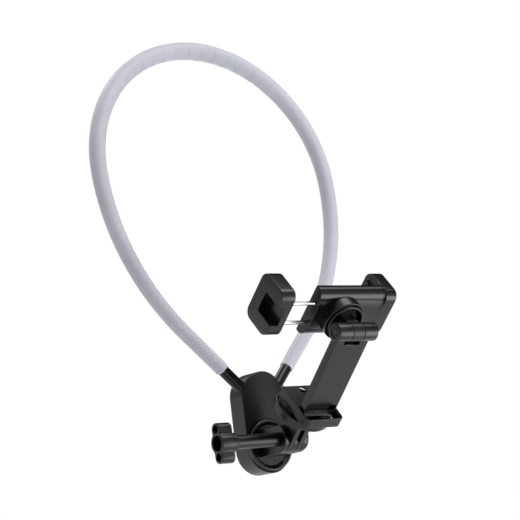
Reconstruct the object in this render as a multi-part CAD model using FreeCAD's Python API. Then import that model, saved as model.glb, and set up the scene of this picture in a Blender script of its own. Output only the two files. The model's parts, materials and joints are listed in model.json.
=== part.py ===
import FreeCAD, Part
import math
import os

V = FreeCAD.Vector

# Driving dimensions, in mm and degrees.
# Rest attitude, as worn: the chest piece leans back, the holder's head leans forward.
PENDANT_LEAN_DEG = 13.5
RING_LEAN_DEG = 20.5
HEAD_LEAN_DEG = 36.0

# Clearances
SEAT = 0.1
RUN_FIT = 0.05
SIDE_PLAY = 0.1
GROOVE_PLAY = 0.2

# Chest piece: a capsule outline with a gently crowned front
PENDANT_W = 33.2
PENDANT_H = 66.9
PENDANT_T = 17.0
CROWN_R = 66.0
EDGE_ROUND = 0.6
SHELL_WALL = 2.2
SHELL_FRONT = 4.4
COVER_T = 2.2
COVER_PROUD = 0.4
CAVITY_TOP = 8.0
SCREW_R = 1.25
SCREW_HEAD_R = 2.3
SCREW_HEAD_H = 1.2
SCREW_LEN = 7.0
BOSS_R = 2.9
BOSS_IN_WALL = 0.6
SCREW_LOW_IN = 6.25
SCREW_PAIR_DOWN = 4.4

# Neck hoop: one top arc, two side arcs and straight ends, tapering to its ends
RING_Y = -10.2
RING_DOWN = 1.15
RING_TOP_R = 93.4
RING_TOP_W = 138.8
RING_FOOT_X = 25.9
RING_STRAIGHT = 35.0
SLEEVE_END_W = 3.7
SLEEVE_D_TOP = 12.1
SLEEVE_D_END = 9.2
SLEEVE_STATIONS = 6
CORE_W = 5.0
CORE_T = 2.0
CORE_PLAY = 0.1
FERRULE_D = 7.8
FERRULE_L = 27.0
FERRULE_BORE = 12.0

# Round three-finger mount on the chest piece
TURRET_Z = -13.74
TURRET_DROP = 1.5
TURRET_R = 17.2
TURRET_SEAT = 14.5
TURRET_RIM = 18.5
TURRET_FLOOR = 16.4
TURRET_RIM_W = 2.0
TURRET_SLOPE = 2.0
PIVOT_OUT = 36.33
FINGER_T = 3.4
FINGER_GAP = 3.7
FINGER_R = 9.0
NUT_BOSS_R = 8.0
NUT_BOSS_L = 2.0
NUT_AF = 8.0
NUT_H = 3.2
MOUNT_SCREW_R = 2.0
MOUNT_SCREW_HEAD_R = 3.8
MOUNT_SCREW_HEAD_H = 2.2
MOUNT_SCREW_BITE = 4.0

# Thumb screw
SCREW_M5_R = 2.5
KNOB_L = 13.2
KNOB_HUB_PROUD = 3.0
KNOB_LONG = 25.8
KNOB_WIDE = 8.2
KNOB_HUB_R = 6.7
KNOB_WAIST = 2.5
KNOB_TURN_DEG = -15.0
KNOB_POCKET_R = 5.0
KNOB_POCKET = 8.0
KNOB_LOBE_POCKET = 3.0
KNOB_LOBE_WALL = 1.4
NECK_L = 33.7
NECK_R_KNOB = 4.6
NECK_R_TIP = 4.5
THUMB_HEAD_H = 3.0
THUMB_KEY = 4.0

# Two-finger adapter with its round table
ADAPTER_RISE = 21.95
TABLE_R = 18.8
TABLE_T = 5.6
TABLE_RIM = 1.5
TABLE_DEEP = 3.4
TABLE_STEP_R = 15.2
TABLE_STEP_W = 1.4
TABLE_STEP_H = 1.6
TABLE_BOSS_R = 6.4
STUD_R = 3.175
STUD_FOOT = 3.0
STUD_UP = 4.6

# Tray on the table
TRAY_W = 29.4
TRAY_FRONT = 22.0
TRAY_REAR = 11.5
TRAY_T = 6.8
TRAY_GAP = 1.6
TRAY_WALL = 1.7
TRAY_PLATE = 1.8
TRAY_CORNER = 3.4
TRAY_RIM = 1.2
TRAY_RECESS = 0.6
TRAY_HOLE_R = 2.7
TRAY_HOLE_WALL = 0.4
TRAY_END_ROUND = 1.0
INSERT_R = 4.4
INSERT_BOSS = 1.1
PIN_R = 1.5
PIN_DROP = 3.6
PIN_BITE = 1.0

# Arm between the tray and the clamp
ARM_W = 25.4
ARM_T = 5.6
ARM_Y = -9.2
ARM_FOOT_OUT = 2.0
ARM_TOP = 95.75
HINGE_UP = 0.8
ARM_EDGE = 0.7
BARREL_R = 6.0
BARREL_L = 30.2
KNUCKLE_GAP = 9.4
NOTCH_W = 12.4
NOTCH_H = 3.0
NOTCH_DROP = 5.2
SCOOP_H = 4.2
SCOOP_DEEP = 3.0
SCOOP_ROUND = 2.0
SCOOP_CHEEK = 1.0
HINGE_R = 2.0
HINGE_HEAD_R = 4.4
HINGE_HEAD_L = 2.4
HINGE_NUT_AF = 7.0
HINGE_NUT_H = 2.4
HINGE_NUT_SINK = 2.8

# Swivelling leaf on the clamp's back
LEAF_R = 12.4
LEAF_RIM = 1.3
LEAF_SINK = 3.0
LEAF_OUT = 1.5
TAB_W = 9.0
TAB_H = 8.4
RING_BOSS_R = 14.2
RING_BOSS_OUT = 5.3
SWIVEL_R = 2.0
SWIVEL_HEAD_R = 3.6
SWIVEL_HEAD_H = 2.0
SWIVEL_BITE = 3.6
WASHER_R = 4.6
WASHER_T = 0.8

# Clamp body
CLAMP_LEFT = -21.0
CLAMP_RIGHT = 29.5
CLAMP_H = 34.4
CLAMP_FRONT = 6.7
CLAMP_REAR = 16.2
CROWN_DROP = 1.5
CROWN_HALF = 11.5
WELL_Y = 8.4
WELL_H = 23.0
WELL_LEFT = 6.0
WELL_RIGHT = 2.7
PLATE_T = 1.6
PLATE_MARGIN = 2.0
PLATE_H = 28.6
PAD_T = 1.0
PAD_SINK = 0.55
PAD_MARGIN = 6.0
PAD_H = 21.0
PLATE_SCREW_R = 0.9
PLATE_SCREW_HEAD_R = 1.7
PLATE_SCREW_HEAD_H = 0.9
PLATE_SCREW_LEN = 4.0
PLATE_SCREW_IN = 2.6

# Jaws
JAW_T = 10.5
FIXED_JAW_T = 8.6
FIXED_JAW_FOOT = 1.25
JAW_H = 34.0
JAW_FRONT = 7.0
JAW_REAR = 32.1
JAW_CORNER = 6.0
JAW_EDGE = 0.7
PHONE_W = 71.5
LIP_Y = 25.4
LIP_IN = 1.8
GRIP_H = 14.1
GRIP_Y = 23.0
GRIP_DEEP = 6.0
GRIP_ROUND = 1.5
JAW_PAD_T = 1.2
JAW_PAD_SINK = 0.9
JAW_PAD_H = 24.0
JAW_PAD_Y = (17.4, 24.6)
JAW_SCREW_R = 1.25
JAW_SCREW_HEAD_R = 2.3
JAW_SCREW_HEAD_H = 1.4
JAW_SCREW_SINK = 4.0
JAW_SCREW_LEN = 8.0
JAW_SCREW_Z = 8.0
JAW_SCREW_Y = 12.4

# Guide rods, stops and springs of the moving jaw
ROD_R = 1.25
ROD_Y = 10.6
ROD_SPREAD = 15.0
ROD_GRIP = 4.2
ROD_END = 7.5
STOP_R = 2.1
STOP_T = 1.8
SPRING_R = 1.78
SPRING_WIRE = 0.5
SPRING_TURNS = 7


# Building blocks
def box(x0, x1, y0, y1, z0, z1):
    return Part.makeBox(x1 - x0, y1 - y0, z1 - z0, V(x0, y0, z0))


def bar_x(radius, x0, x1, y=0.0, z=0.0):
    return Part.makeCylinder(radius, x1 - x0, V(x0, y, z), V(1, 0, 0))


def bar_y(radius, y0, y1, x=0.0, z=0.0):
    return Part.makeCylinder(radius, y1 - y0, V(x, y0, z), V(0, 1, 0))


def bar_z(radius, z0, z1, x=0.0, y=0.0):
    return Part.makeCylinder(radius, z1 - z0, V(x, y, z0), V(0, 0, 1))


def hex_x(across_flats, x0, x1, y=0.0, z=0.0):
    """A hexagonal prism along X."""
    reach = across_flats / math.sqrt(3.0)
    corners = [V(x0, y + reach * math.cos(math.radians(60 * k)), z + reach * math.sin(math.radians(60 * k)))
               for k in range(7)]
    return Part.Face(Part.makePolygon(corners)).extrude(V(x1 - x0, 0, 0))


def capsule_y(width, height, y0, y1):
    """An upright capsule outline, extruded along Y."""
    radius = width / 2
    rise = height / 2 - radius
    slab = box(-radius, radius, y0, y1, -rise, rise)
    ends = bar_y(radius, y0, y1, 0, rise).fuse(bar_y(radius, y0, y1, 0, -rise))
    return slab.fuse(ends).removeSplitter()


def finger(x0, x1, radius, y0, y1, z0, z1):
    """A flat finger between two heights, with a round end about the X axis at the origin."""
    return box(x0, x1, y0, y1, z0, z1).fuse(bar_x(radius, x0, x1)).removeSplitter()


def turned(points, axis):
    """A solid of revolution about Y or Z from (radius, position) points."""
    if axis == "Y":
        corners = [V(r, p, 0) for r, p in points]
        direction = V(0, 1, 0)
    else:
        corners = [V(r, 0, p) for r, p in points]
        direction = V(0, 0, 1)
    outline = Part.makePolygon(corners + corners[:1])
    return Part.Face(outline).revolve(V(0, 0, 0), direction, 360)


def along(shape, axis, keep):
    """Straight edges parallel to an axis whose middle passes the test."""
    found = []
    for edge in shape.Edges:
        if edge.Curve.TypeId != "Part::GeomLine":
            continue
        run = edge.Vertexes[-1].Point - edge.Vertexes[0].Point
        middle = (edge.Vertexes[-1].Point + edge.Vertexes[0].Point) * 0.5
        if abs(run.dot(axis)) > 0.999 * run.Length and keep(middle):
            found.append(edge)
    return found


def fused(first, *others):
    return first.fuse(list(others)).removeSplitter()


def mirrored(shape):
    return shape.mirror(V(0, 0, 0), V(1, 0, 0))


# Places: each group is built upright about its own origin, then set in its rest attitude.
def turned_about_x(shape, angle):
    return shape.rotated(V(0, 0, 0), V(1, 0, 0), angle)


def on_chest(shape):
    return turned_about_x(shape, -PENDANT_LEAN_DEG)


def on_ring(shape):
    local = turned_about_x(shape, PENDANT_LEAN_DEG - RING_LEAN_DEG).translated(V(0, RING_Y, PENDANT_H / 2 - RING_DOWN))
    return on_chest(local)


def chest_point(y, z):
    lean = math.radians(PENDANT_LEAN_DEG)
    return V(0, y * math.cos(lean) + z * math.sin(lean), -y * math.sin(lean) + z * math.cos(lean))


PIVOT = chest_point(-PIVOT_OUT, TURRET_Z)
DISC_Z = TURRET_Z - TURRET_DROP


def on_head(shape):
    return turned_about_x(shape, HEAD_LEAN_DEG).translated(PIVOT)


# Chest piece
def crowned(width, height, y0):
    """The capsule from its back plane to the crowned front."""
    block = capsule_y(width, height, -PENDANT_T, y0)
    crown = bar_z(CROWN_R, -PENDANT_H, PENDANT_H, 0, CROWN_R - PENDANT_T)
    return block.common(crown)


def side_arc():
    """Radius and turn of each side arc, which runs from the shoulder to a straight end."""
    across = RING_TOP_R - RING_FOOT_X
    fall = RING_TOP_W - SLEEVE_END_W
    radius = (across ** 2 + fall ** 2 - RING_STRAIGHT ** 2) / (2 * across)
    turn = math.atan2(fall, radius - across) - math.atan2(RING_STRAIGHT, radius)
    return radius, turn


def on_side(angle):
    """A point of the right side arc, by its angle below the shoulder."""
    radius, turn = side_arc()
    return V(RING_TOP_R - radius + radius * math.cos(angle), 0, RING_TOP_W - radius * math.sin(angle))


def side_foot():
    """The right end of the sleeve, and the inward direction there, in the hoop's plane."""
    radius, turn = side_arc()
    return V(RING_FOOT_X, 0, SLEEVE_END_W), V(-math.sin(turn), 0, -math.cos(turn))


def ferrule_bar(radius, start, length):
    """A bar along the right end stub, measured from the sleeve's end."""
    foot, inward = side_foot()
    return Part.makeCylinder(radius, length, foot + inward * start, inward)


def both_sides(shape):
    return [shape, mirrored(shape)]


def screw_places():
    low = SCREW_LOW_IN - PENDANT_H / 2
    high = CAVITY_TOP - SCREW_PAIR_DOWN
    side = PENDANT_W / 2 - SHELL_WALL - BOSS_R + BOSS_IN_WALL
    return [(0.0, low), (-side, high), (side, high)]


def pendant_shell():
    shell = crowned(PENDANT_W, PENDANT_H, -COVER_PROUD)
    inner = capsule_y(PENDANT_W - 2 * SHELL_WALL, PENDANT_H - 2 * SHELL_WALL, -PENDANT_T + SHELL_FRONT, 0)
    cavity = inner.common(box(-PENDANT_W, PENDANT_W, -PENDANT_T, 0, -PENDANT_H, CAVITY_TOP))
    shell = shell.cut(cavity)
    bosses = [bar_y(BOSS_R, -PENDANT_T + SHELL_FRONT - SEAT, -COVER_T, x, z) for x, z in screw_places()]
    shell = shell.fuse(bosses).removeSplitter()
    shell = shell.cut(capsule_y(PENDANT_W - 2 * SHELL_WALL, PENDANT_H - 2 * SHELL_WALL, -COVER_T, 0))
    for x, z in screw_places():
        shell = shell.cut(bar_y(SCREW_R, -COVER_T - SCREW_LEN, 0, x, z))
    shell = shell.cut(bar_y(TURRET_R, -PENDANT_T - 1, -TURRET_SEAT, 0, DISC_Z))
    shell = shell.cut(bar_y(MOUNT_SCREW_R, -PENDANT_T, 0, 0, DISC_Z))
    placed = on_chest(shell)
    for socket in both_sides(ferrule_bar(FERRULE_D / 2, 0, FERRULE_L)):
        placed = placed.cut(on_ring(socket))
    return placed


def pendant_cover():
    gap = SHELL_WALL + SEAT
    cover = capsule_y(PENDANT_W - 2 * gap, PENDANT_H - 2 * gap, -COVER_T, 0)
    for x, z in screw_places():
        cover = cover.cut(bar_y(SCREW_R, -COVER_T, 0, x, z))
        cover = cover.cut(bar_y(SCREW_HEAD_R + SEAT, -SCREW_HEAD_H - SEAT, 0, x, z))
    return on_chest(cover)


def pendant_screws():
    screws = []
    for x, z in screw_places():
        head = bar_y(SCREW_HEAD_R, -SCREW_HEAD_H - SEAT, -SEAT, x, z)
        shank = bar_y(SCREW_R, -COVER_T - SCREW_LEN, -SCREW_HEAD_H, x, z)
        screws.append(on_chest(fused(head, shank)))
    return Part.makeCompound(screws)


# Neck hoop
def hoop_path(extra):
    """The hoop's middle line from the left end to the right one, with extra length at each straight end."""
    foot, inward = side_foot()
    radius, turn = side_arc()
    tip = foot + inward * extra
    bend = on_side(turn)
    middle = on_side(turn / 2)
    shoulder = on_side(0)
    crown = V(0, 0, RING_TOP_W + RING_TOP_R)

    def left(p):
        return V(-p.x, p.y, p.z)

    return Part.Wire([
        Part.LineSegment(left(tip), left(bend)).toShape(),
        Part.Arc(left(bend), left(middle), left(shoulder)).toShape(),
        Part.Arc(left(shoulder), crown, shoulder).toShape(),
        Part.Arc(shoulder, middle, bend).toShape(),
        Part.LineSegment(bend, tip).toShape(),
    ])


def band(width, thick, extra):
    """A flat band swept along the hoop, standing across its plane."""
    path = hoop_path(extra)
    first = path.Edges[0]
    origin = first.valueAt(first.FirstParameter)
    heading = first.tangentAt(first.FirstParameter)
    across = V(0, 1, 0)
    out = heading.cross(across)
    corners = [origin + across * (a * width / 2) + out * (b * thick / 2)
               for a, b in ((-1, -1), (1, -1), (1, 1), (-1, 1), (-1, -1))]
    return path.makePipeShell([Part.makePolygon(corners)], True, False)


def sleeve_stations():
    """Centre, heading and share of the way to the top, from the right end over the top to the left one."""
    foot, inward = side_foot()
    radius, turn = side_arc()
    side_len = RING_STRAIGHT + radius * turn
    total = side_len + RING_TOP_R * math.pi / 2
    stations = [(foot, inward * -1, 0.0)]
    for k in range(SLEEVE_STATIONS):
        angle = turn * (1 - k / SLEEVE_STATIONS)
        heading = V(math.sin(angle), 0, math.cos(angle))
        stations.append((on_side(angle), heading, (side_len - radius * angle) / total))
    for k in range(SLEEVE_STATIONS + 1):
        angle = math.pi / 2 * k / SLEEVE_STATIONS
        centre = V(RING_TOP_R * math.cos(angle), 0, RING_TOP_W + RING_TOP_R * math.sin(angle))
        heading = V(-math.sin(angle), 0, math.cos(angle))
        stations.append((centre, heading, (side_len + RING_TOP_R * angle) / total))
    far = [(V(-c.x, c.y, c.z), V(h.x, h.y, -h.z), s) for c, h, s in stations[-2::-1]]
    return stations + far


def neck_sleeve():
    rings = []
    for centre, heading, share in sleeve_stations():
        radius = (SLEEVE_D_END + (SLEEVE_D_TOP - SLEEVE_D_END) * share) / 2
        rings.append(Part.Wire(Part.makeCircle(radius, centre, heading)))
    tube = Part.makeLoft(rings, True, False)
    bore = band(CORE_W + 2 * CORE_PLAY, CORE_T + 2 * CORE_PLAY, 0)
    return on_ring(tube.cut(bore))


def neck_core():
    return on_ring(band(CORE_W, CORE_T, FERRULE_BORE))


def ferrule():
    """The right end stub: a plain bar with a flat slot for the core."""
    stub = ferrule_bar(FERRULE_D / 2, SEAT, FERRULE_L - SEAT)
    slot = band(CORE_W + 2 * CORE_PLAY, CORE_T + 2 * CORE_PLAY, FERRULE_BORE + CORE_PLAY)
    return stub.cut(slot)


# Round mount with three fingers
def finger_lanes(count):
    """X ranges of evenly pitched fingers."""
    pitch = FINGER_T + FINGER_GAP
    first = -pitch * (count - 1) / 2
    return [(first + k * pitch - FINGER_T / 2, first + k * pitch + FINGER_T / 2) for k in range(count)]


MOUNT_HALF = finger_lanes(3)[2][1]


def finger_mount():
    rim = TURRET_R - TURRET_RIM_W
    disc = turned([(0, -TURRET_SEAT - SEAT / 2), (TURRET_R - SEAT, -TURRET_SEAT - SEAT / 2),
                   (TURRET_R - SEAT, -TURRET_RIM + EDGE_ROUND), (TURRET_R - SEAT - EDGE_ROUND, -TURRET_RIM),
                   (rim, -TURRET_RIM), (rim - TURRET_SLOPE, -TURRET_FLOOR), (0, -TURRET_FLOOR)], "Y")
    disc = disc.translated(V(0, 0, DISC_Z))
    root = PIVOT_OUT - TURRET_FLOOR + SEAT
    fingers = [finger(x0, x1, FINGER_R, 0, root, -FINGER_R, FINGER_R) for x0, x1 in finger_lanes(3)]
    boss = bar_x(NUT_BOSS_R, MOUNT_HALF - SEAT, MOUNT_HALF + NUT_BOSS_L)
    prongs = fingers[0].fuse(fingers[1:] + [boss])
    prongs = prongs.cut(bar_x(SCREW_M5_R + RUN_FIT, -MOUNT_HALF - 1, MOUNT_HALF + NUT_BOSS_L + 1))
    prongs = prongs.cut(hex_x(NUT_AF, MOUNT_HALF + NUT_BOSS_L - NUT_H, MOUNT_HALF + NUT_BOSS_L + 1))
    mount = disc.fuse(prongs.translated(V(0, -PIVOT_OUT, TURRET_Z))).removeSplitter()
    hole = bar_y(MOUNT_SCREW_R, -TURRET_SEAT - MOUNT_SCREW_BITE, 0, 0, DISC_Z)
    return on_chest(mount.cut(hole))


def mount_screw():
    floor = -PENDANT_T + SHELL_FRONT
    head = bar_y(MOUNT_SCREW_HEAD_R, floor, floor + MOUNT_SCREW_HEAD_H, 0, DISC_Z)
    shank = bar_y(MOUNT_SCREW_R, -TURRET_SEAT - MOUNT_SCREW_BITE, floor, 0, DISC_Z)
    return on_chest(fused(head, shank))


def captive_nut():
    end = MOUNT_HALF + NUT_BOSS_L
    nut = hex_x(NUT_AF - SEAT, end - NUT_H, end).cut(bar_x(SCREW_M5_R + RUN_FIT, 0, end + 1))
    return on_chest(nut.translated(V(0, -PIVOT_OUT, TURRET_Z)))


# Thumb screw
NECK_TIP = -MOUNT_HALF - SIDE_PLAY
KNOB_IN = NECK_TIP - NECK_L
KNOB_OUT = KNOB_IN - KNOB_L


def thumb_knob():
    half = KNOB_WIDE / 2
    reach = KNOB_LONG / 2 - half
    lobe_in = KNOB_IN - KNOB_HUB_PROUD
    wing = box(KNOB_OUT, lobe_in, -half, half, -reach, reach)
    wing = fused(wing, bar_x(half, KNOB_OUT, lobe_in, 0, reach), bar_x(half, KNOB_OUT, lobe_in, 0, -reach),
                 bar_x(KNOB_HUB_R, KNOB_OUT, lobe_in))
    wing = wing.makeFillet(KNOB_WAIST, along(wing, V(1, 0, 0), lambda p: abs(p.z) < reach - half / 2))
    rim = [e for e in wing.Edges if abs(e.BoundBox.XMin - e.BoundBox.XMax) < 1e-6]
    wing = wing.makeFillet(EDGE_ROUND, rim)
    wing = fused(wing, bar_x(KNOB_HUB_R - EDGE_ROUND, lobe_in - SEAT, KNOB_IN))
    wing = wing.cut(bar_x(KNOB_POCKET_R, KNOB_OUT - 1, KNOB_OUT + KNOB_POCKET))
    for side in (-1, 1):
        pocket = bar_x(half - KNOB_LOBE_WALL, KNOB_OUT - 1, KNOB_OUT + KNOB_LOBE_POCKET, 0, side * reach)
        wing = wing.cut(pocket)
    wing = turned_about_x(wing, KNOB_TURN_DEG)
    neck = Part.makeCone(NECK_R_KNOB, NECK_R_TIP, NECK_L, V(KNOB_IN, 0, 0), V(1, 0, 0))
    knob = fused(wing, neck)
    knob = knob.cut(bar_x(SCREW_M5_R, KNOB_OUT - 1, NECK_TIP + 1))
    return knob.translated(PIVOT)


def thumb_screw():
    head_in = KNOB_OUT + KNOB_POCKET
    head = bar_x(KNOB_POCKET_R - SEAT, head_in - THUMB_HEAD_H, head_in)
    head = head.cut(hex_x(THUMB_KEY, head_in - THUMB_HEAD_H, head_in - SEAT))
    shank = bar_x(SCREW_M5_R, head_in - SEAT, MOUNT_HALF + NUT_BOSS_L)
    return fused(head, shank).translated(PIVOT)


# Adapter
TABLE_LOW = ADAPTER_RISE
TABLE_TOP = ADAPTER_RISE + TABLE_T
TRAY_LOW = TABLE_TOP + TRAY_GAP
TRAY_TOP = TRAY_LOW + TRAY_T


def adapter():
    fingers = [finger(x0, x1, FINGER_R, -FINGER_R, FINGER_R, 0, TABLE_LOW + SEAT) for x0, x1 in finger_lanes(2)]
    prongs = fingers[0].fuse(fingers[1:])
    prongs = prongs.cut(bar_x(SCREW_M5_R + RUN_FIT, -MOUNT_HALF, MOUNT_HALF))
    floor = TABLE_TOP - TABLE_DEEP
    step = TABLE_STEP_R - TABLE_STEP_W
    table = turned([(0, TABLE_LOW), (TABLE_R - 1, TABLE_LOW), (TABLE_R, TABLE_LOW + 1), (TABLE_R, TABLE_TOP),
                    (TABLE_R - TABLE_RIM, TABLE_TOP), (TABLE_R - TABLE_RIM, floor), (TABLE_STEP_R, floor),
                    (TABLE_STEP_R, floor + TABLE_STEP_H), (step, floor + TABLE_STEP_H), (step, floor),
                    (TABLE_BOSS_R, floor), (TABLE_BOSS_R, TRAY_LOW - SEAT), (0, TRAY_LOW - SEAT)], "Z")
    whole = table.fuse(prongs).removeSplitter()
    return on_head(whole.cut(bar_z(STUD_R, floor - STUD_FOOT + 1, TRAY_LOW + 1)))


def adapter_stud():
    return on_head(bar_z(STUD_R, TABLE_TOP - TABLE_DEEP - STUD_FOOT + 1, TRAY_LOW + STUD_UP))


# Tray
PIN_Z = TRAY_TOP - PIN_DROP
PIN_Y = ARM_Y - ARM_FOOT_OUT
TRAY_INNER = TRAY_W / 2 - TRAY_WALL


def tray():
    half = TRAY_W / 2
    block = box(-half, half, -TRAY_FRONT, TRAY_REAR, TRAY_LOW, TRAY_TOP)
    block = block.makeFillet(TRAY_CORNER, along(block, V(0, 0, 1), lambda p: p.y < 0))
    block = block.makeFillet(TRAY_END_ROUND, along(block, V(0, 0, 1), lambda p: p.y > 0))
    hollow = box(-TRAY_INNER, TRAY_INNER, -TRAY_FRONT + TRAY_WALL, TRAY_REAR + 1, TRAY_LOW - 1, TRAY_TOP - TRAY_PLATE)
    hollow = hollow.makeFillet(TRAY_CORNER - TRAY_WALL, along(hollow, V(0, 0, 1), lambda p: p.y < 0))
    body = block.cut(hollow)
    inset = half - TRAY_RIM
    recess = box(-inset, inset, -TRAY_FRONT + TRAY_RIM, TRAY_REAR + 1, TRAY_TOP - TRAY_RECESS, TRAY_TOP + 1)
    recess = recess.makeFillet(TRAY_CORNER - TRAY_RIM, along(recess, V(0, 0, 1), lambda p: p.y < 0))
    body = body.cut(recess)
    window_back = PIN_Y + ARM_T / 2 + 2 * GROOVE_PLAY
    window = box(-TRAY_INNER, TRAY_INNER, -TRAY_FRONT + TRAY_WALL, window_back, TRAY_LOW, TRAY_TOP + 1)
    window = window.makeFillet(TRAY_CORNER - TRAY_WALL, along(window, V(0, 0, 1), lambda p: p.y < PIN_Y))
    body = body.cut(window)
    boss = bar_z(INSERT_R + INSERT_BOSS, TRAY_LOW, TRAY_TOP - TRAY_RECESS)
    boss = boss.common(box(-half, half, window_back, TRAY_REAR, TRAY_LOW, TRAY_TOP))
    body = body.fuse(boss).removeSplitter()
    body = body.cut(bar_z(INSERT_R, TRAY_LOW, TRAY_TOP - TRAY_PLATE))
    hole_y = INSERT_R + TRAY_HOLE_WALL + TRAY_HOLE_R
    body = body.cut(bar_z(TRAY_HOLE_R, TRAY_LOW, TRAY_TOP + 1, 0, hole_y))
    pin_half = TRAY_INNER + PIN_BITE
    return on_head(body.cut(bar_x(PIN_R, -pin_half, pin_half, PIN_Y, PIN_Z)))


def tray_insert():
    insert = bar_z(INSERT_R, TRAY_LOW, TRAY_TOP - TRAY_PLATE)
    return on_head(insert.cut(bar_z(STUD_R + RUN_FIT, TRAY_LOW - 1, TRAY_TOP)))


def arm_pin():
    pin_half = TRAY_INNER + PIN_BITE
    return on_head(bar_x(PIN_R, -pin_half, pin_half, PIN_Y, PIN_Z))


# Arm and its top hinge
HINGE_Z = ARM_TOP + HINGE_UP
BARREL_END = BARREL_L / 2


def arm():
    """The blade is made upright over its pin, then leans back to the hinge."""
    lean = math.atan2(ARM_FOOT_OUT, HINGE_Z - PIN_Z)
    length = math.hypot(ARM_FOOT_OUT, HINGE_Z - PIN_Z)
    half = ARM_W / 2
    front, back = -ARM_T / 2, ARM_T / 2
    blade = box(-half, half, front, back, 0, length)
    blade = blade.makeFillet(ARM_EDGE, along(blade, V(0, 0, 1), lambda p: True))
    foot = bar_x(ARM_T / 2, -half, half)
    barrel = bar_x(BARREL_R, -BARREL_END, BARREL_END, 0, length)
    rims = [e for e in barrel.Edges if abs(e.BoundBox.XMin - e.BoundBox.XMax) < 1e-6]
    barrel = barrel.makeFillet(EDGE_ROUND, rims)
    body = fused(blade, foot, barrel)
    gap = KNUCKLE_GAP / 2
    body = body.cut(bar_x(BARREL_R + 2 * GROOVE_PLAY, -gap, gap, 0, length))
    notch_top = length - NOTCH_DROP
    body = body.cut(box(-NOTCH_W / 2, NOTCH_W / 2, front - 1, back + 1, notch_top - NOTCH_H, notch_top))
    body = body.cut(box(-gap, gap, front - 1, back + 1, notch_top - SEAT, length))
    inner = half - SCOOP_CHEEK
    scoop = box(-inner, inner, front - 1, front + SCOOP_DEEP, PIN_DROP, PIN_DROP + SCOOP_H)
    body = body.cut(scoop.makeFillet(SCOOP_ROUND, along(scoop, V(0, 1, 0), lambda p: p.z > PIN_DROP + 1)))
    body = body.cut(bar_x(PIN_R + RUN_FIT, -half - 1, half + 1))
    body = body.cut(bar_x(HINGE_R, -BARREL_END - 1, BARREL_END + 1, 0, length))
    body = body.cut(bar_x(HINGE_HEAD_R + SEAT, BARREL_END - HINGE_HEAD_L - SEAT, BARREL_END + 1, 0, length))
    body = body.cut(hex_x(HINGE_NUT_AF, -BARREL_END - 1, -BARREL_END + HINGE_NUT_SINK, 0, length))
    return on_head(turned_about_x(body, -math.degrees(lean)).translated(V(0, PIN_Y, PIN_Z)))


def hinge_screw():
    head = bar_x(HINGE_HEAD_R, BARREL_END - HINGE_HEAD_L, BARREL_END, ARM_Y, HINGE_Z)
    outer = [e for e in head.Edges if e.BoundBox.XMin > BARREL_END - 0.01]
    head = head.makeFillet(EDGE_ROUND, outer)
    shank = bar_x(HINGE_R, -BARREL_END + HINGE_NUT_SINK - HINGE_NUT_H, BARREL_END - SEAT, ARM_Y, HINGE_Z)
    return on_head(fused(head, shank))


def hinge_nut():
    inner = -BARREL_END + HINGE_NUT_SINK
    nut = hex_x(HINGE_NUT_AF - SEAT, inner - HINGE_NUT_H, inner).cut(bar_x(HINGE_R, inner - HINGE_NUT_H, inner + 1))
    lean = math.atan2(ARM_FOOT_OUT, HINGE_Z - PIN_Z)
    return on_head(turned_about_x(nut, -math.degrees(lean)).translated(V(0, ARM_Y, HINGE_Z)))


# Swivelling leaf
LEAF_BACK = CLAMP_FRONT - SEAT
COLLAR_FACE = CLAMP_FRONT - RING_BOSS_OUT
LEAF_FACE = COLLAR_FACE - LEAF_OUT


def swivel_leaf():
    rim = LEAF_R - LEAF_RIM
    floor = LEAF_FACE + LEAF_SINK
    plate = turned([(0, LEAF_BACK), (LEAF_R, LEAF_BACK), (LEAF_R, LEAF_FACE + EDGE_ROUND), (LEAF_R - EDGE_ROUND, LEAF_FACE),
                    (rim, LEAF_FACE), (rim, floor), (0, floor)], "Y")
    plate = plate.translated(V(0, 0, ARM_TOP))
    half = TAB_W / 2
    tab = box(-half, half, ARM_Y, floor + SEAT, HINGE_Z - TAB_H / 2, HINGE_Z + TAB_H / 2)
    knuckle = bar_x(BARREL_R, -half, half, ARM_Y, HINGE_Z)
    leaf = fused(plate, tab, knuckle)
    leaf = leaf.cut(bar_x(HINGE_R + RUN_FIT, -half - 1, half + 1, ARM_Y, HINGE_Z))
    return on_head(leaf.cut(bar_y(SWIVEL_R, LEAF_BACK - SWIVEL_BITE, LEAF_BACK + 1, 0, ARM_TOP)))


WASHER_IN = WELL_Y + RUN_FIT
SWIVEL_HEAD_IN = WASHER_IN + WASHER_T


def swivel_screw():
    head = bar_y(SWIVEL_HEAD_R, SWIVEL_HEAD_IN, SWIVEL_HEAD_IN + SWIVEL_HEAD_H, 0, ARM_TOP)
    shank = bar_y(SWIVEL_R, LEAF_BACK - SWIVEL_BITE, SWIVEL_HEAD_IN, 0, ARM_TOP)
    return on_head(fused(head, shank))


def swivel_washer():
    ring = bar_y(WASHER_R, WASHER_IN, SWIVEL_HEAD_IN, 0, ARM_TOP)
    return on_head(ring.cut(bar_y(SWIVEL_R, WASHER_IN - 1, SWIVEL_HEAD_IN + 1, 0, ARM_TOP)))


# Clamp
FIXED_X = CLAMP_RIGHT + FIXED_JAW_FOOT
MOVING_X = FIXED_X - PHONE_W
JAW_SCREW_SEAT = FIXED_JAW_T - JAW_SCREW_SINK - JAW_SCREW_HEAD_H


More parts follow.
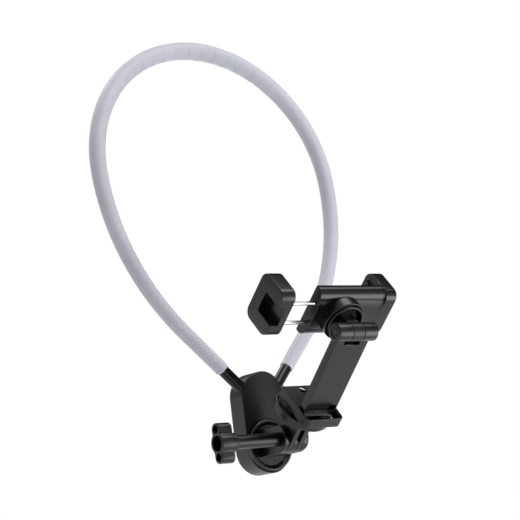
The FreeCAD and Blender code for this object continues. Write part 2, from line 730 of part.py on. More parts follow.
def clamp_profile(x):
    """The closed outline of the clamp's bar: flat rear, crowned front, rounded shoulders."""
    top = CLAMP_H / 2
    shoulder_y = CLAMP_FRONT + CROWN_DROP
    knee = V(x, (shoulder_y + CLAMP_REAR) / 2 - 2.0, (CROWN_HALF + top) / 2 + 1.6)

    def at(y, z):
        return V(x, y, ARM_TOP + z)

    front = Part.Arc(at(shoulder_y, CROWN_HALF), at(CLAMP_FRONT, 0), at(shoulder_y, -CROWN_HALF)).toShape()
    upper = Part.Arc(at(CLAMP_REAR, top), at(knee.y, knee.z), at(shoulder_y, CROWN_HALF)).toShape()
    lower = Part.Arc(at(shoulder_y, -CROWN_HALF), at(knee.y, -knee.z), at(CLAMP_REAR, -top)).toShape()
    rear = Part.LineSegment(at(CLAMP_REAR, -top), at(CLAMP_REAR, top)).toShape()
    return Part.Wire([upper, front, lower, rear])


def plate_box(grow, y0, y1):
    left = CLAMP_LEFT + PLATE_MARGIN - grow
    right = CLAMP_RIGHT - PLATE_MARGIN + grow
    high = PLATE_H / 2 + grow
    slab = box(left, right, y0, y1, ARM_TOP - high, ARM_TOP + high)
    return slab.makeFillet(2.0, along(slab, V(0, 1, 0), lambda p: True))


def plate_screw_places():
    left = CLAMP_LEFT + PLATE_MARGIN + PLATE_SCREW_IN
    right = CLAMP_RIGHT - PLATE_MARGIN - PLATE_SCREW_IN
    rise = PLATE_H / 2 - PLATE_SCREW_IN
    return [(x, ARM_TOP + z) for x in (left, right) for z in (-rise, rise)]


def rod_places():
    return [ARM_TOP - ROD_SPREAD / 2, ARM_TOP + ROD_SPREAD / 2]


def jaw_screw_places():
    return [ARM_TOP - JAW_SCREW_Z, ARM_TOP + JAW_SCREW_Z]


def clamp_body():
    bar = Part.Face(clamp_profile(CLAMP_LEFT)).extrude(V(CLAMP_RIGHT - CLAMP_LEFT - SEAT, 0, 0))
    collar = bar_y(RING_BOSS_R, COLLAR_FACE, CLAMP_FRONT + CROWN_DROP, 0, ARM_TOP)
    lip = [e for e in collar.Edges if e.BoundBox.YMax < COLLAR_FACE + 0.01]
    collar = collar.makeFillet(EDGE_ROUND, lip)
    body = fused(bar, collar)
    body = body.cut(bar_y(LEAF_R + GROOVE_PLAY, COLLAR_FACE - 1, CLAMP_FRONT, 0, ARM_TOP))
    half = WELL_H / 2
    well = box(CLAMP_LEFT + WELL_LEFT, CLAMP_RIGHT - WELL_RIGHT, WELL_Y, CLAMP_REAR, ARM_TOP - half, ARM_TOP + half)
    well = well.makeFillet(2.0, along(well, V(1, 0, 0), lambda p: p.y < WELL_Y + 0.1))
    body = body.cut(well)
    body = body.cut(plate_box(SEAT, CLAMP_REAR - PLATE_T, CLAMP_REAR + 1))
    body = body.cut(bar_y(SWIVEL_R + RUN_FIT, 0, WELL_Y + 1, 0, ARM_TOP))
    for z in rod_places():
        body = body.cut(bar_x(ROD_R + RUN_FIT, CLAMP_LEFT - 1, CLAMP_LEFT + WELL_LEFT + 1, ROD_Y, z))
    for x, z in plate_screw_places():
        body = body.cut(bar_y(PLATE_SCREW_R, CLAMP_REAR - PLATE_T - PLATE_SCREW_LEN, CLAMP_REAR, x, z))
    for z in jaw_screw_places():
        body = body.cut(bar_x(JAW_SCREW_R, FIXED_X + JAW_SCREW_SEAT - JAW_SCREW_LEN, CLAMP_RIGHT, JAW_SCREW_Y, z))
    return on_head(body)


def clamp_plate():
    plate = plate_box(0, CLAMP_REAR - PLATE_T, CLAMP_REAR)
    plate = plate.cut(pad_box(SEAT, CLAMP_REAR - PAD_SINK, CLAMP_REAR + 1))
    for x, z in plate_screw_places():
        plate = plate.cut(bar_y(PLATE_SCREW_R, CLAMP_REAR - PLATE_T, CLAMP_REAR, x, z))
        plate = plate.cut(bar_y(PLATE_SCREW_HEAD_R + SEAT, CLAMP_REAR - PLATE_SCREW_HEAD_H, CLAMP_REAR + 1, x, z))
    return on_head(plate)


def plate_screws():
    screws = []
    for x, z in plate_screw_places():
        head = bar_y(PLATE_SCREW_HEAD_R, CLAMP_REAR - PLATE_SCREW_HEAD_H, CLAMP_REAR - SEAT, x, z)
        shank = bar_y(PLATE_SCREW_R, CLAMP_REAR - PLATE_T - PLATE_SCREW_LEN, CLAMP_REAR - PLATE_SCREW_HEAD_H, x, z)
        screws.append(on_head(fused(head, shank)))
    return Part.makeCompound(screws)


def pad_box(grow, y0, y1):
    left = CLAMP_LEFT + PAD_MARGIN - grow
    right = CLAMP_RIGHT - PAD_MARGIN + grow
    high = PAD_H / 2 + grow
    slab = box(left, right, y0, y1, ARM_TOP - high, ARM_TOP + high)
    return slab.makeFillet(2.0, along(slab, V(0, 1, 0), lambda p: True))


def clamp_pad():
    return on_head(pad_box(0, CLAMP_REAR - PAD_SINK, CLAMP_REAR - PAD_SINK + PAD_T))


# Jaws: both are made as the right one, with the inner face on X = 0
def jaw_block(thick):
    half = JAW_H / 2
    block = box(0, thick, JAW_FRONT, JAW_REAR, ARM_TOP - half, ARM_TOP + half)
    block = block.makeFillet(JAW_CORNER, along(block, V(1, 0, 0), lambda p: True))
    outer = [e for e in block.Edges if e.BoundBox.XMin > thick - 0.01]
    block = block.makeFillet(JAW_EDGE, outer)
    lip = box(-LIP_IN, 1, LIP_Y, JAW_REAR - JAW_CORNER / 2, ARM_TOP - half + JAW_CORNER, ARM_TOP + half - JAW_CORNER)
    lip = lip.makeFillet(LIP_IN * 0.6, along(lip, V(0, 0, 1), lambda p: p.x < 0))
    pad = jaw_pad_box(SEAT, 0, JAW_PAD_SINK)
    return fused(block, lip).cut(pad)


def jaw_pad_box(grow, x0, x1):
    low, high = JAW_PAD_Y
    half = JAW_PAD_H / 2 + grow
    return box(x0, x1, low - grow, high + grow, ARM_TOP - half, ARM_TOP + half)


JAW_PAD_OUT = JAW_PAD_T - JAW_PAD_SINK


def fixed_jaw():
    """The right jaw, with a foot of the bar's own profile."""
    foot = Part.Face(clamp_profile(-FIXED_JAW_FOOT)).extrude(V(FIXED_JAW_FOOT + 1, 0, 0))
    foot = foot.common(box(-FIXED_JAW_FOOT, 1, JAW_FRONT, CLAMP_REAR, ARM_TOP - CLAMP_H, ARM_TOP + CLAMP_H))
    jaw = fused(jaw_block(FIXED_JAW_T), foot)
    for z in jaw_screw_places():
        jaw = jaw.cut(bar_x(JAW_SCREW_R, -FIXED_JAW_FOOT - 1, FIXED_JAW_T, JAW_SCREW_Y, z))
        jaw = jaw.cut(bar_x(JAW_SCREW_HEAD_R + SEAT, JAW_SCREW_SEAT, FIXED_JAW_T + 1, JAW_SCREW_Y, z))
    return on_head(jaw.translated(V(FIXED_X, 0, 0)))


def fixed_jaw_screws():
    screws = []
    for z in jaw_screw_places():
        head = bar_x(JAW_SCREW_HEAD_R, JAW_SCREW_SEAT, JAW_SCREW_SEAT + JAW_SCREW_HEAD_H, JAW_SCREW_Y, z)
        shank = bar_x(JAW_SCREW_R, JAW_SCREW_SEAT - JAW_SCREW_LEN, JAW_SCREW_SEAT, JAW_SCREW_Y, z)
        screws.append(on_head(fused(head, shank).translated(V(FIXED_X, 0, 0))))
    return Part.makeCompound(screws)


def fixed_jaw_pad():
    return on_head(jaw_pad_box(0, -JAW_PAD_OUT, JAW_PAD_SINK).translated(V(FIXED_X, 0, 0)))


def moving_jaw():
    jaw = mirrored(jaw_block(JAW_T)).translated(V(MOVING_X, 0, 0))
    outer = MOVING_X - JAW_T
    half = GRIP_H / 2
    grip = box(outer - 1, outer + GRIP_DEEP, JAW_FRONT - 1, GRIP_Y, ARM_TOP - half, ARM_TOP + half)
    grip = grip.makeFillet(GRIP_ROUND, along(grip, V(1, 0, 0), lambda p: p.y > JAW_FRONT))
    jaw = jaw.cut(grip)
    for z in rod_places():
        jaw = jaw.cut(bar_x(ROD_R, MOVING_X - ROD_GRIP, MOVING_X + LIP_IN, ROD_Y, z))
    return on_head(jaw)


def moving_jaw_pad():
    pad = mirrored(jaw_pad_box(0, -JAW_PAD_OUT, JAW_PAD_SINK))
    return on_head(pad.translated(V(MOVING_X, 0, 0)))


def jaw_rods():
    rods = [bar_x(ROD_R, MOVING_X - ROD_GRIP, ROD_END, ROD_Y, z) for z in rod_places()]
    return Part.makeCompound([on_head(r) for r in rods])


def rod_stops():
    stops = []
    for z in rod_places():
        ring = bar_x(STOP_R, ROD_END - STOP_T, ROD_END, ROD_Y, z)
        stops.append(on_head(ring.cut(bar_x(ROD_R, ROD_END - STOP_T - 1, ROD_END + 1, ROD_Y, z))))
    return Part.makeCompound(stops)


def jaw_springs():
    start = CLAMP_LEFT + WELL_LEFT + SPRING_WIRE / 2 + RUN_FIT
    length = ROD_END - STOP_T - SPRING_WIRE / 2 - RUN_FIT - start
    helix = Part.makeHelix(length / SPRING_TURNS, length, SPRING_R)
    side = SPRING_WIRE / 2
    corners = [V(SPRING_R + a * side, 0, b * side) for a, b in ((-1, -1), (1, -1), (1, 1), (-1, 1), (-1, -1))]
    coil = Part.Wire(helix).makePipeShell([Part.makePolygon(corners)], True, True)
    coil = coil.rotated(V(0, 0, 0), V(0, 1, 0), 90)
    return Part.makeCompound([on_head(coil.translated(V(start, ROD_Y, z))) for z in rod_places()])


PIECES = {
    "pendant_shell": pendant_shell,
    "pendant_cover": pendant_cover,
    "pendant_screws": pendant_screws,
    "neck_sleeve": neck_sleeve,
    "neck_core": neck_core,
    "right_ferrule": lambda: on_ring(ferrule()),
    "left_ferrule": lambda: on_ring(mirrored(ferrule())),
    "finger_mount": finger_mount,
    "mount_screw": mount_screw,
    "captive_nut": captive_nut,
    "thumb_knob": thumb_knob,
    "thumb_screw": thumb_screw,
    "adapter": adapter,
    "adapter_stud": adapter_stud,
    "tray": tray,
    "tray_insert": tray_insert,
    "arm_pin": arm_pin,
    "arm": arm,
    "hinge_screw": hinge_screw,
    "hinge_nut": hinge_nut,
    "swivel_leaf": swivel_leaf,
    "swivel_screw": swivel_screw,
    "swivel_washer": swivel_washer,
    "clamp_body": clamp_body,
    "clamp_plate": clamp_plate,
    "plate_screws": plate_screws,
    "clamp_pad": clamp_pad,
    "fixed_jaw": fixed_jaw,
    "fixed_jaw_screws": fixed_jaw_screws,
    "fixed_jaw_pad": fixed_jaw_pad,
    "moving_jaw": moving_jaw,
    "moving_jaw_pad": moving_jaw_pad,
    "jaw_rods": jaw_rods,
    "rod_stops": rod_stops,
    "jaw_springs": jaw_springs,
}

os.makedirs("parts", exist_ok=True)
for name, make in PIECES.items():
    shape = make()
    shape.exportStep("parts/" + name + ".step")
    print(name, "solids", len(shape.Solids), "volume", round(shape.Volume, 1), "valid", shape.isValid())
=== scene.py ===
import json
import logging
import math
from dataclasses import dataclass
from enum import Enum

import bmesh
import bpy
from mathutils import Matrix, Vector
from mathutils.bvhtree import BVHTree


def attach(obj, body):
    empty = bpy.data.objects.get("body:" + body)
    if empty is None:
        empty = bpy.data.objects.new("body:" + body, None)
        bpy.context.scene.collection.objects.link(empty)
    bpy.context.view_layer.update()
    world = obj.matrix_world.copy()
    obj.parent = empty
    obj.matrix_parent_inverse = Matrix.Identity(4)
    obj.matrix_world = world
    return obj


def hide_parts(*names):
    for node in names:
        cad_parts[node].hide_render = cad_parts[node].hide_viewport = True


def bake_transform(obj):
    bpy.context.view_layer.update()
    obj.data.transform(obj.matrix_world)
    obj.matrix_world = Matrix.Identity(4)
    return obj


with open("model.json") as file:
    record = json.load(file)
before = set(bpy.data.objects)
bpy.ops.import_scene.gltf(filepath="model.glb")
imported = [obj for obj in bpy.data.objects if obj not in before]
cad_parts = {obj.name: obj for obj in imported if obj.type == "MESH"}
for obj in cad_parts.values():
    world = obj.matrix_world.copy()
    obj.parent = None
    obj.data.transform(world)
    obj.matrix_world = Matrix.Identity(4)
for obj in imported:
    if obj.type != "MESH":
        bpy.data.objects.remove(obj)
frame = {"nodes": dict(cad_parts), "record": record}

LOG = logging.getLogger("neck_phone_holder")
MM = 0.001

# Weld distance in metres, and the angles that tell faces of one surface from corners, in radians.
WELD = 2e-6
FLAT_ANGLE = math.radians(0.6)
SOFT_ANGLE = math.radians(20)
CORNER_ANGLE = math.radians(35)

# Steps across a rounded edge, and how far it may leave the node's skin as a share of its width.
EDGE_STEPS = 2
EDGE_STRAY = 0.42

# Smoothing angles of new pieces, in degrees.
TUBE_SMOOTH = 50
SCREW_SMOOTH = 35
RUBBER_SMOOTH = 30

# Where a shader's grey pattern starts and ends its blend of two shades.
RAMP_ENDS = (0.3, 0.7)

# Places of the colour sockets of the Mix node.
MIX_SHARE, MIX_FIRST, MIX_SECOND, MIX_RESULT = 0, 6, 7, 2

WHITE = (1.0, 1.0, 1.0, 1.0)

Triple = tuple[float, float, float]
Source = bpy.types.NodeSocket | Vector | Triple | float


def mm(*values: float) -> Vector:
    """Turn millimetres into a vector in metres."""
    return Vector(values) * MM


class Body(Enum):
    """The rigid bodies that the pieces ride on."""

    CHEST = "chest_piece"
    THUMB = "thumb"
    TABLE = "adapter_table"
    TRAY = "tray_base"
    ARM = "arm_blade"
    LEAF = "leaf"
    CLAMP = "clamp"
    JAW = "jaw"


class Socket(Enum):
    """The kinds of geometry node group inputs in use."""

    GEOMETRY = "NodeSocketGeometry"
    FLOAT = "NodeSocketFloat"
    INT = "NodeSocketInt"
    OBJECT = "NodeSocketObject"
    MATERIAL = "NodeSocketMaterial"
    VECTOR = "NodeSocketVector"


# Node tools


class NodeDesk:
    """Lays out and joins the nodes of one tree."""

    def __init__(self, tree: bpy.types.NodeTree) -> None:
        """Take on a node tree of any kind."""
        self.tree = tree

    def feed(self, socket: bpy.types.NodeSocket, source: Source) -> None:
        """Give an input another node's output or a fixed value."""
        if isinstance(source, bpy.types.NodeSocket):
            self.tree.links.new(source, socket)
        else:
            socket.default_value = source

    def node(self, kind: str, inputs: dict | None = None, **settings: object) -> bpy.types.Node:
        """Add a node.

        Args:
            kind: the node's type.
            inputs: an input's name or place to what feeds it.
            settings: the node's own options.

        Returns:
            The new node.
        """
        made = self.tree.nodes.new(kind)
        for key, option in settings.items():
            setattr(made, key, option)
        for key, source in (inputs or {}).items():
            self.feed(made.inputs[key], source)
        return made

    def math(self, operation: str, *terms: Source) -> bpy.types.NodeSocket:
        """The result of a sum on numbers, its terms in order."""
        made = self.node("ShaderNodeMath", dict(enumerate(terms)), operation=operation)
        return made.outputs["Value"]

    def vector(self, operation: str, first: Source,
               second: Source | None = None) -> bpy.types.NodeSocket:
        """Work out a vector, or the dot product of two.

        Args:
            operation: the sum to do.
            first: the first vector.
            second: the second vector, or the number of a scaling.

        Returns:
            The result.
        """
        made = self.node("ShaderNodeVectorMath", {0: first}, operation=operation)
        if second is not None:
            self.feed(made.inputs["Scale" if operation == "SCALE" else 1], second)
        return made.outputs["Value" if operation == "DOT_PRODUCT" else "Vector"]


class ShaderDesk(NodeDesk):
    """The node tree of a material or a world, cleared."""

    def __init__(self, owner: bpy.types.Material | bpy.types.World) -> None:
        """Turn on the owner's nodes and clear them."""
        owner.use_nodes = True
        super().__init__(owner.node_tree)
        self.tree.nodes.clear()

    def mix(self, share: Source, first: Source, second: Source) -> bpy.types.NodeSocket:
        """Two shaders blended, by how much of the second shows."""
        made = self.node("ShaderNodeMixShader", {"Fac": share, 1: first, 2: second})
        return made.outputs["Shader"]

    def ray(self, kind: str) -> bpy.types.NodeSocket:
        """1 for rays of one kind."""
        return self.node("ShaderNodeLightPath").outputs[f"Is {kind} Ray"]

    def eye_rays(self) -> bpy.types.NodeSocket:
        """1 for camera, glossy and transmission rays."""
        seen = self.math("MAXIMUM", self.ray("Camera"), self.ray("Glossy"))
        return self.math("MAXIMUM", seen, self.ray("Transmission"))


class GeometryTree(NodeDesk):
    """Builds one geometry node group with named inputs."""

    def __init__(self, name: str) -> None:
        """Start a group of that name with a geometry output."""
        super().__init__(bpy.data.node_groups.new(name, "GeometryNodeTree"))
        self.tree.interface.new_socket("Geometry", in_out="OUTPUT",
                                       socket_type=Socket.GEOMETRY.value)
        self.inside = self.node("NodeGroupInput")
        self.keys: dict[str, str] = {}

    def values(self, kinds: dict[str, Socket]) -> list[bpy.types.NodeSocket]:
        """Add named inputs.

        Args:
            kinds: each input's name and what it holds.

        Returns:
            The inputs' sockets inside the group, in order.
        """
        for name, kind in kinds.items():
            item = self.tree.interface.new_socket(name, in_out="INPUT", socket_type=kind.value)
            self.keys[name] = item.identifier
        sockets = {s.identifier: s for s in self.inside.outputs}
        return [sockets[self.keys[name]] for name in kinds]

    def attribute(self, name: str, kind: str = "FLOAT") -> bpy.types.NodeSocket:
        """The field of a named attribute of that data type."""
        made = self.node("GeometryNodeInputNamedAttribute", {"Name": name}, data_type=kind)
        return made.outputs["Attribute"]

    def tube(self, line: Source, section: Source) -> bpy.types.NodeSocket:
        """The mesh of a closed tube along one curve, with another as its cross-section."""
        made = self.node("GeometryNodeCurveToMesh",
                         {"Curve": line, "Profile Curve": section, "Fill Caps": True})
        return made.outputs["Mesh"]

    def copies(self, points: Source, stamp: Source) -> bpy.types.NodeSocket:
        """Instances of a shape at each point of a mesh."""
        cloud = self.node("GeometryNodeMeshToPoints", {"Mesh": points}).outputs["Points"]
        made = self.node("GeometryNodeInstanceOnPoints", {"Points": cloud, "Instance": stamp})
        return made.outputs["Instances"]

    def close(self, geometry: Source, material: Source) -> None:
        """Realize the instances, set the material and end the group.

        Args:
            geometry: what has been made.
            material: the material's input.
        """
        real = self.node("GeometryNodeRealizeInstances", {"Geometry": geometry})
        dressed = self.node("GeometryNodeSetMaterial",
                            {"Geometry": real.outputs["Geometry"], "Material": material})
        self.node("NodeGroupOutput", {"Geometry": dressed.outputs["Geometry"]})

    def grow(self, base: bpy.types.Mesh, inputs: dict, name: str) -> bpy.types.Mesh:
        """Run the group on a base mesh and bake the result.

        Args:
            base: the mesh that the modifier sits on.
            inputs: input name to value.
            name: the result's name.

        Returns:
            A plain mesh.
        """
        holder = new_piece(name + "_grower", base)
        modifier = holder.modifiers.new("grow", "NODES")
        modifier.node_group = self.tree
        for key, number in inputs.items():
            modifier[self.keys[key]] = number
        return baked(holder, name)


# Finishes


@dataclass(frozen=True)
class Pattern:
    """A noise pattern: its cells to a millimetre, its octaves and its scale along each axis."""

    per_mm: float
    detail: float
    stretch: Triple = (1.0, 1.0, 1.0)


@dataclass(frozen=True)
class Relief:
    """A pattern that raises a surface: its depth in mm and how much of it shows."""

    pattern: Pattern
    depth: float
    strength: float


class ShaderBench(ShaderDesk):
    """Lays out the nodes of one material round its Principled shader."""

    def __init__(self, name: str) -> None:
        """Start a material of that name."""
        self.material = bpy.data.materials.new(name)
        super().__init__(self.material)
        self.principled = self.node("ShaderNodeBsdfPrincipled")
        self.node("ShaderNodeOutputMaterial", {"Surface": self.principled.outputs["BSDF"]})
        self.place = self.node("ShaderNodeTexCoord").outputs["Object"]

    def surface(self, inputs: dict[str, Source]) -> None:
        """Feed inputs of the Principled shader."""
        for key, source in inputs.items():
            self.feed(self.principled.inputs[key], source)

    def noise(self, pattern: Pattern) -> bpy.types.NodeSocket:
        """The grey output of a noise pattern in the piece's own coordinates."""
        mapping = self.node("ShaderNodeMapping", {"Vector": self.place, "Scale": pattern.stretch})
        made = self.node("ShaderNodeTexNoise", {"Vector": mapping.outputs["Vector"],
                                                "Scale": pattern.per_mm / MM,
                                                "Detail": pattern.detail})
        return made.outputs["Fac"]

    def shades(self, source: Source, colour: Triple, low: float,
               high: float) -> bpy.types.NodeSocket:
        """Blend between two shades of a colour by a grey value.

        Args:
            source: the grey value.
            colour: the colour.
            low: the share of it at the dark end.
            high: the share of it at the bright end.

        Returns:
            The blended colour.
        """
        made = self.node("ShaderNodeValToRGB", {"Fac": source})
        for stop, place, share in zip(made.color_ramp.elements, RAMP_ENDS, (low, high)):
            stop.position = place
            stop.color = (*(share * c for c in colour), 1)
        return made.outputs["Color"]

    def span(self, source: Source, middle: float, play: float) -> bpy.types.NodeSocket:
        """A grey value spread about a middle, with that play to each side."""
        made = self.node("ShaderNodeMapRange", {"Value": source, "To Min": middle - play,
                                                "To Max": middle + play})
        return made.outputs["Result"]

    def emboss(self, relief: Relief) -> None:
        """Raise the surface by a pattern."""
        bump = self.node("ShaderNodeBump", {"Height": self.noise(relief.pattern),
                                            "Distance": relief.depth * MM,
                                            "Strength": relief.strength})
        self.surface({"Normal": bump.outputs["Normal"]})


@dataclass(frozen=True)
class MouldedPlastic:
    """Black injection-moulded plastic with a fine spark-eroded grain."""

    name: str
    colour: Triple
    roughness: float
    grain: Relief
    specular: float = 0.5
    cloud: Pattern = Pattern(0.06, 3.0)
    cloud_play: float = 0.14
    rough_play: float = 0.05
    # How much paler the edge variant's colour is: a painted highlight along the rounded edges.
    edge_highlight_lift: float = 10.0
    edge_polish: float = 0.08

    def material(self, edge: bool = False) -> bpy.types.Material:
        """Build the material.

        Args:
            edge: True for the edge variant, smoother and paler in colour, a painted highlight along
                rounded edges.

        Returns:
            The material.
        """
        bench = ShaderBench(self.name + ("_edge" if edge else ""))
        cloud = bench.noise(self.cloud)
        # The edge variant's paler colour is a painted highlight.
        lift = self.edge_highlight_lift if edge else 1.0
        low, high = lift * (1 - self.cloud_play), lift * (1 + self.cloud_play)
        rough = self.roughness - (self.edge_polish if edge else 0.0)
        bench.surface({
            "Base Color": bench.shades(cloud, self.colour, low, high),
            "Roughness": bench.span(cloud, rough, self.rough_play),
            "Specular IOR Level": self.specular,
        })
        bench.emboss(self.grain)
        return bench.material


@dataclass(frozen=True)
class SiliconeSkin:
    """Pale silicone with a soft matte skin, and a painted highlight on the sleeve's rounded ends: a
    paler colour where the lip attribute is 1.
    """

    name: str
    colour: Triple
    # Colour of the painted highlight on the rounded ends.
    lip_highlight_colour: Triple
    roughness: float
    rough_play: float = 0.06
    rough_spots: Pattern = Pattern(0.4, 3.0)
    cloud: Pattern = Pattern(0.03, 4.0)
    cloud_play: float = 0.05
    specular: float = 0.4
    sheen: float = 0.15
    sheen_roughness: float = 0.4
    skin: Relief = Relief(Pattern(0.25, 2.0), 0.02, 0.04)

    def material(self) -> bpy.types.Material:
        """Build the material."""
        bench = ShaderBench(self.name)
        cloud = bench.noise(self.cloud)
        body = bench.shades(cloud, self.colour, 1 - self.cloud_play, 1 + self.cloud_play)
        # Painted highlight: the rounded ends take the paler lip colour.
        lip = bench.node("ShaderNodeAttribute", attribute_name="lip_share").outputs["Fac"]
        blend = bench.node("ShaderNodeMix", {MIX_SHARE: lip, MIX_FIRST: body,
                                             MIX_SECOND: (*self.lip_highlight_colour, 1.0)},
                           data_type="RGBA")
        bench.surface({
            "Base Color": blend.outputs[MIX_RESULT],
            "Roughness": bench.span(bench.noise(self.rough_spots), self.roughness,
                                    self.rough_play),
            "Specular IOR Level": self.specular,
            "Sheen Weight": self.sheen,
            "Sheen Roughness": self.sheen_roughness,
        })
        bench.emboss(self.skin)
        return bench.material


@dataclass(frozen=True)
class Metal:
    """Bare or plated metal with fine marks along X."""

    name: str
    colour: Triple
    roughness: float
    rough_play: float = 0.08
    dim: float = 0.92
    marks: Relief = Relief(Pattern(1.2, 3.0, (0.08, 1.0, 1.0)), 0.01, 0.1)

    def material(self) -> bpy.types.Material:
        """Build the material."""
        bench = ShaderBench(self.name)
        streaks = bench.noise(self.marks.pattern)
        bench.surface({
            "Base Color": bench.shades(streaks, self.colour, self.dim, 1.0),
            "Roughness": bench.span(streaks, self.roughness, self.rough_play),
            "Metallic": 1.0,
        })
        bench.emboss(self.marks)
        return bench.material


@dataclass(frozen=True)
class SoftRubber:
    """Matte black rubber with a dusty grain."""

    name: str
    colour: Triple
    roughness: float = 0.71
    rough_play: float = 0.09
    dust: Pattern = Pattern(0.5, 4.0)
    dust_lift: float = 1.5
    specular: float = 0.35
    grain: Relief = Relief(Pattern(3.0, 2.0), 0.04, 0.2)

    def material(self) -> bpy.types.Material:
        """Build the material."""
        bench = ShaderBench(self.name)
        dust = bench.noise(self.dust)
        bench.surface({
            "Base Color": bench.shades(dust, self.colour, 1.0, self.dust_lift),
            "Roughness": bench.span(dust, self.roughness, self.rough_play),
            "Specular IOR Level": self.specular,
        })
        bench.emboss(self.grain)
        return bench.material


FINISHES = {
    "black_plastic": MouldedPlastic("grained_black", (0.0026, 0.0026, 0.0027), 0.34,
                                    Relief(Pattern(3.2, 2.0), 0.05, 0.14)),
    "satin_black": MouldedPlastic("satin_black", (0.0024, 0.0024, 0.0025), 0.26,
                                  Relief(Pattern(2.4, 2.0), 0.02, 0.05)),
    "gloss_black": MouldedPlastic("polished_black", (0.0012, 0.0012, 0.0013), 0.18,
                                  Relief(Pattern(1.0, 2.0), 0.01, 0.05), specular=0.35),
    # The silicone's second colour is a painted highlight on the sleeve's rounded ends.
    "grey_silicone": SiliconeSkin("lavender_silicone", (0.57, 0.57, 0.645), (0.92, 0.92, 0.93),
                                  0.5),
    "black_rubber": SoftRubber("black_rubber", (0.014, 0.014, 0.014)),
    "steel": Metal("zinc_steel", (0.36, 0.36, 0.37), 0.38),
    "dark_steel": Metal("black_oxide_steel", (0.05, 0.05, 0.055), 0.38),
    "chrome": Metal("polished_chrome", (0.7, 0.7, 0.71), 0.14, rough_play=0.04),
    "brass": Metal("turned_brass", (0.7, 0.5, 0.2), 0.28),
}


class Wardrobe:
    """Makes each finish once and dresses nodes and pieces in it."""

    def __init__(self) -> None:
        """Build every material and note each node's slot."""
        self.materials = {slot: finish.material() for slot, finish in FINISHES.items()}
        # Edge variants of the plastics: their paler colour is a painted highlight on rounded edges.
        self.edges = {slot: finish.material(edge=True) for slot, finish in FINISHES.items()
                      if isinstance(finish, MouldedPlastic)}
        self.slots = {s["node"]: s["material_slot"] for s in frame["record"]["subparts"]}

    def finish_of(self, node: str) -> bpy.types.Material:
        """The material of a CAD node's slot."""
        return self.materials[self.slots[node]]

    def dress_nodes(self) -> None:
        """Give every CAD node the finish of its slot."""
        for name, node in frame["nodes"].items():
            node.data.materials.clear()
            node.data.materials.append(self.finish_of(name))

    def dress(self, piece: bpy.types.Object, slot: str) -> None:
        """Put one finish on a new piece.

        Args:
            piece: the new object.
            slot: the record's material slot.
        """
        piece.data.materials.clear()
        piece.data.materials.append(self.materials[slot])
        # Faces of rounded edges take the edge variant, with its painted highlight.
        if any(face.material_index for face in piece.data.polygons):
            piece.data.materials.append(self.edges.get(slot, self.materials[slot]))


# Mesh tools


def new_piece(name: str, mesh: bpy.types.Mesh) -> bpy.types.Object:
    """Link a mesh as a new object at the origin.

    Args:
        name: the piece's name.
        mesh: its mesh.

    Returns:
        The new object.
    """
    piece = bpy.data.objects.new(name, mesh)
    bpy.context.scene.collection.objects.link(piece)
    return piece


def smooth(mesh: bpy.types.Mesh, angle: float) -> None:
    """Shade a mesh smooth up to an angle between faces, in degrees."""
    mesh.polygons.foreach_set("use_smooth", [True] * len(mesh.polygons))
    mesh.set_sharp_from_angle(angle=math.radians(angle))


def baked(holder: bpy.types.Object, name: str) -> bpy.types.Mesh:
    """Turn an object and its modifiers into a plain mesh and remove the object.

    Args:
        holder: the object with its modifiers.
        name: the new mesh's name.

    Returns:
        The plain mesh.
    """
    bpy.context.view_layer.update()
    graph = bpy.context.evaluated_depsgraph_get()
    mesh = bpy.data.meshes.new_from_object(holder.evaluated_get(graph))
    mesh.name = name
    old = holder.data
    bpy.data.objects.remove(holder)
    bpy.data.meshes.remove(old)
    return mesh


def copy_of(node: str) -> bpy.types.Mesh:
    """A welded copy of a CAD node's mesh.

    Args:
        node: the node's name.

    Returns:
        The copy, with its doubled points merged.
    """
    mesh = frame["nodes"][node].data.copy()
    shape = bmesh.new()
    shape.from_mesh(mesh)
    bmesh.ops.remove_doubles(shape, verts=shape.verts, dist=WELD)
    bmesh.ops.dissolve_degenerate(shape, edges=shape.edges, dist=WELD)
    shape.to_mesh(mesh)
    shape.free()
    mesh.materials.clear()
    return mesh


def carved(node: str, cutter: bpy.types.Mesh, angle: float) -> bpy.types.Mesh:
    """A copy of a node with a cutter's shape taken out of it.

    Args:
        node: the node's name.
        cutter: the closed mesh to take away.
        angle: the smoothing angle in degrees.

    Returns:
        The carved mesh.
    """
    holder = new_piece("carving", copy_of(node))
    knife = new_piece("knife", cutter)
    cut = holder.modifiers.new("cut", "BOOLEAN")
    cut.operation = "DIFFERENCE"
    cut.solver = "EXACT"
    cut.object = knife
    mesh = baked(holder, node + "_carved")
    bpy.data.objects.remove(knife)
    mesh.materials.clear()
    smooth(mesh, angle)
    return mesh


def eased(node: str, width: float) -> bpy.types.Mesh:
    """A copy of a node with its sharp outer edges rounded off.

    Args:
        node: the node's name.
        width: how far the rounding reaches into each face, in mm.

    Returns:
        The eased mesh, whose rounded edges have material index 1, the slot of the painted edge
        highlight.
    """
    mesh = copy_of(node)
    shape = bmesh.new()
    shape.from_mesh(mesh)
    bmesh.ops.join_triangles(shape, faces=shape.faces, angle_face_threshold=FLAT_ANGLE,
                             angle_shape_threshold=math.pi)
    skin = BVHTree.FromBMesh(shape)
    sharp = [e for e in shape.edges
             if e.is_manifold and e.is_convex and e.calc_face_angle(0) > CORNER_ANGLE]
    bmesh.ops.bevel(shape, geom=sharp, offset=width * MM, offset_type="OFFSET", profile=0.5,
                    segments=EDGE_STEPS, affect="EDGES", clamp_overlap=False, material=1)
    for vert in shape.verts:
        spot, _, _, gap = skin.find_nearest(vert.co)
        if gap > EDGE_STRAY * width * MM:
            vert.co = spot
    for edge in shape.edges:
        kinds = {face.material_index for face in edge.link_faces}
        edge.smooth = kinds == {1} or (kinds == {0} and edge.calc_face_angle(0) < SOFT_ANGLE)
    for face in shape.faces:
        face.smooth = True
    shape.to_mesh(mesh)
    shape.free()
    mesh.name = node + "_eased"
    return mesh


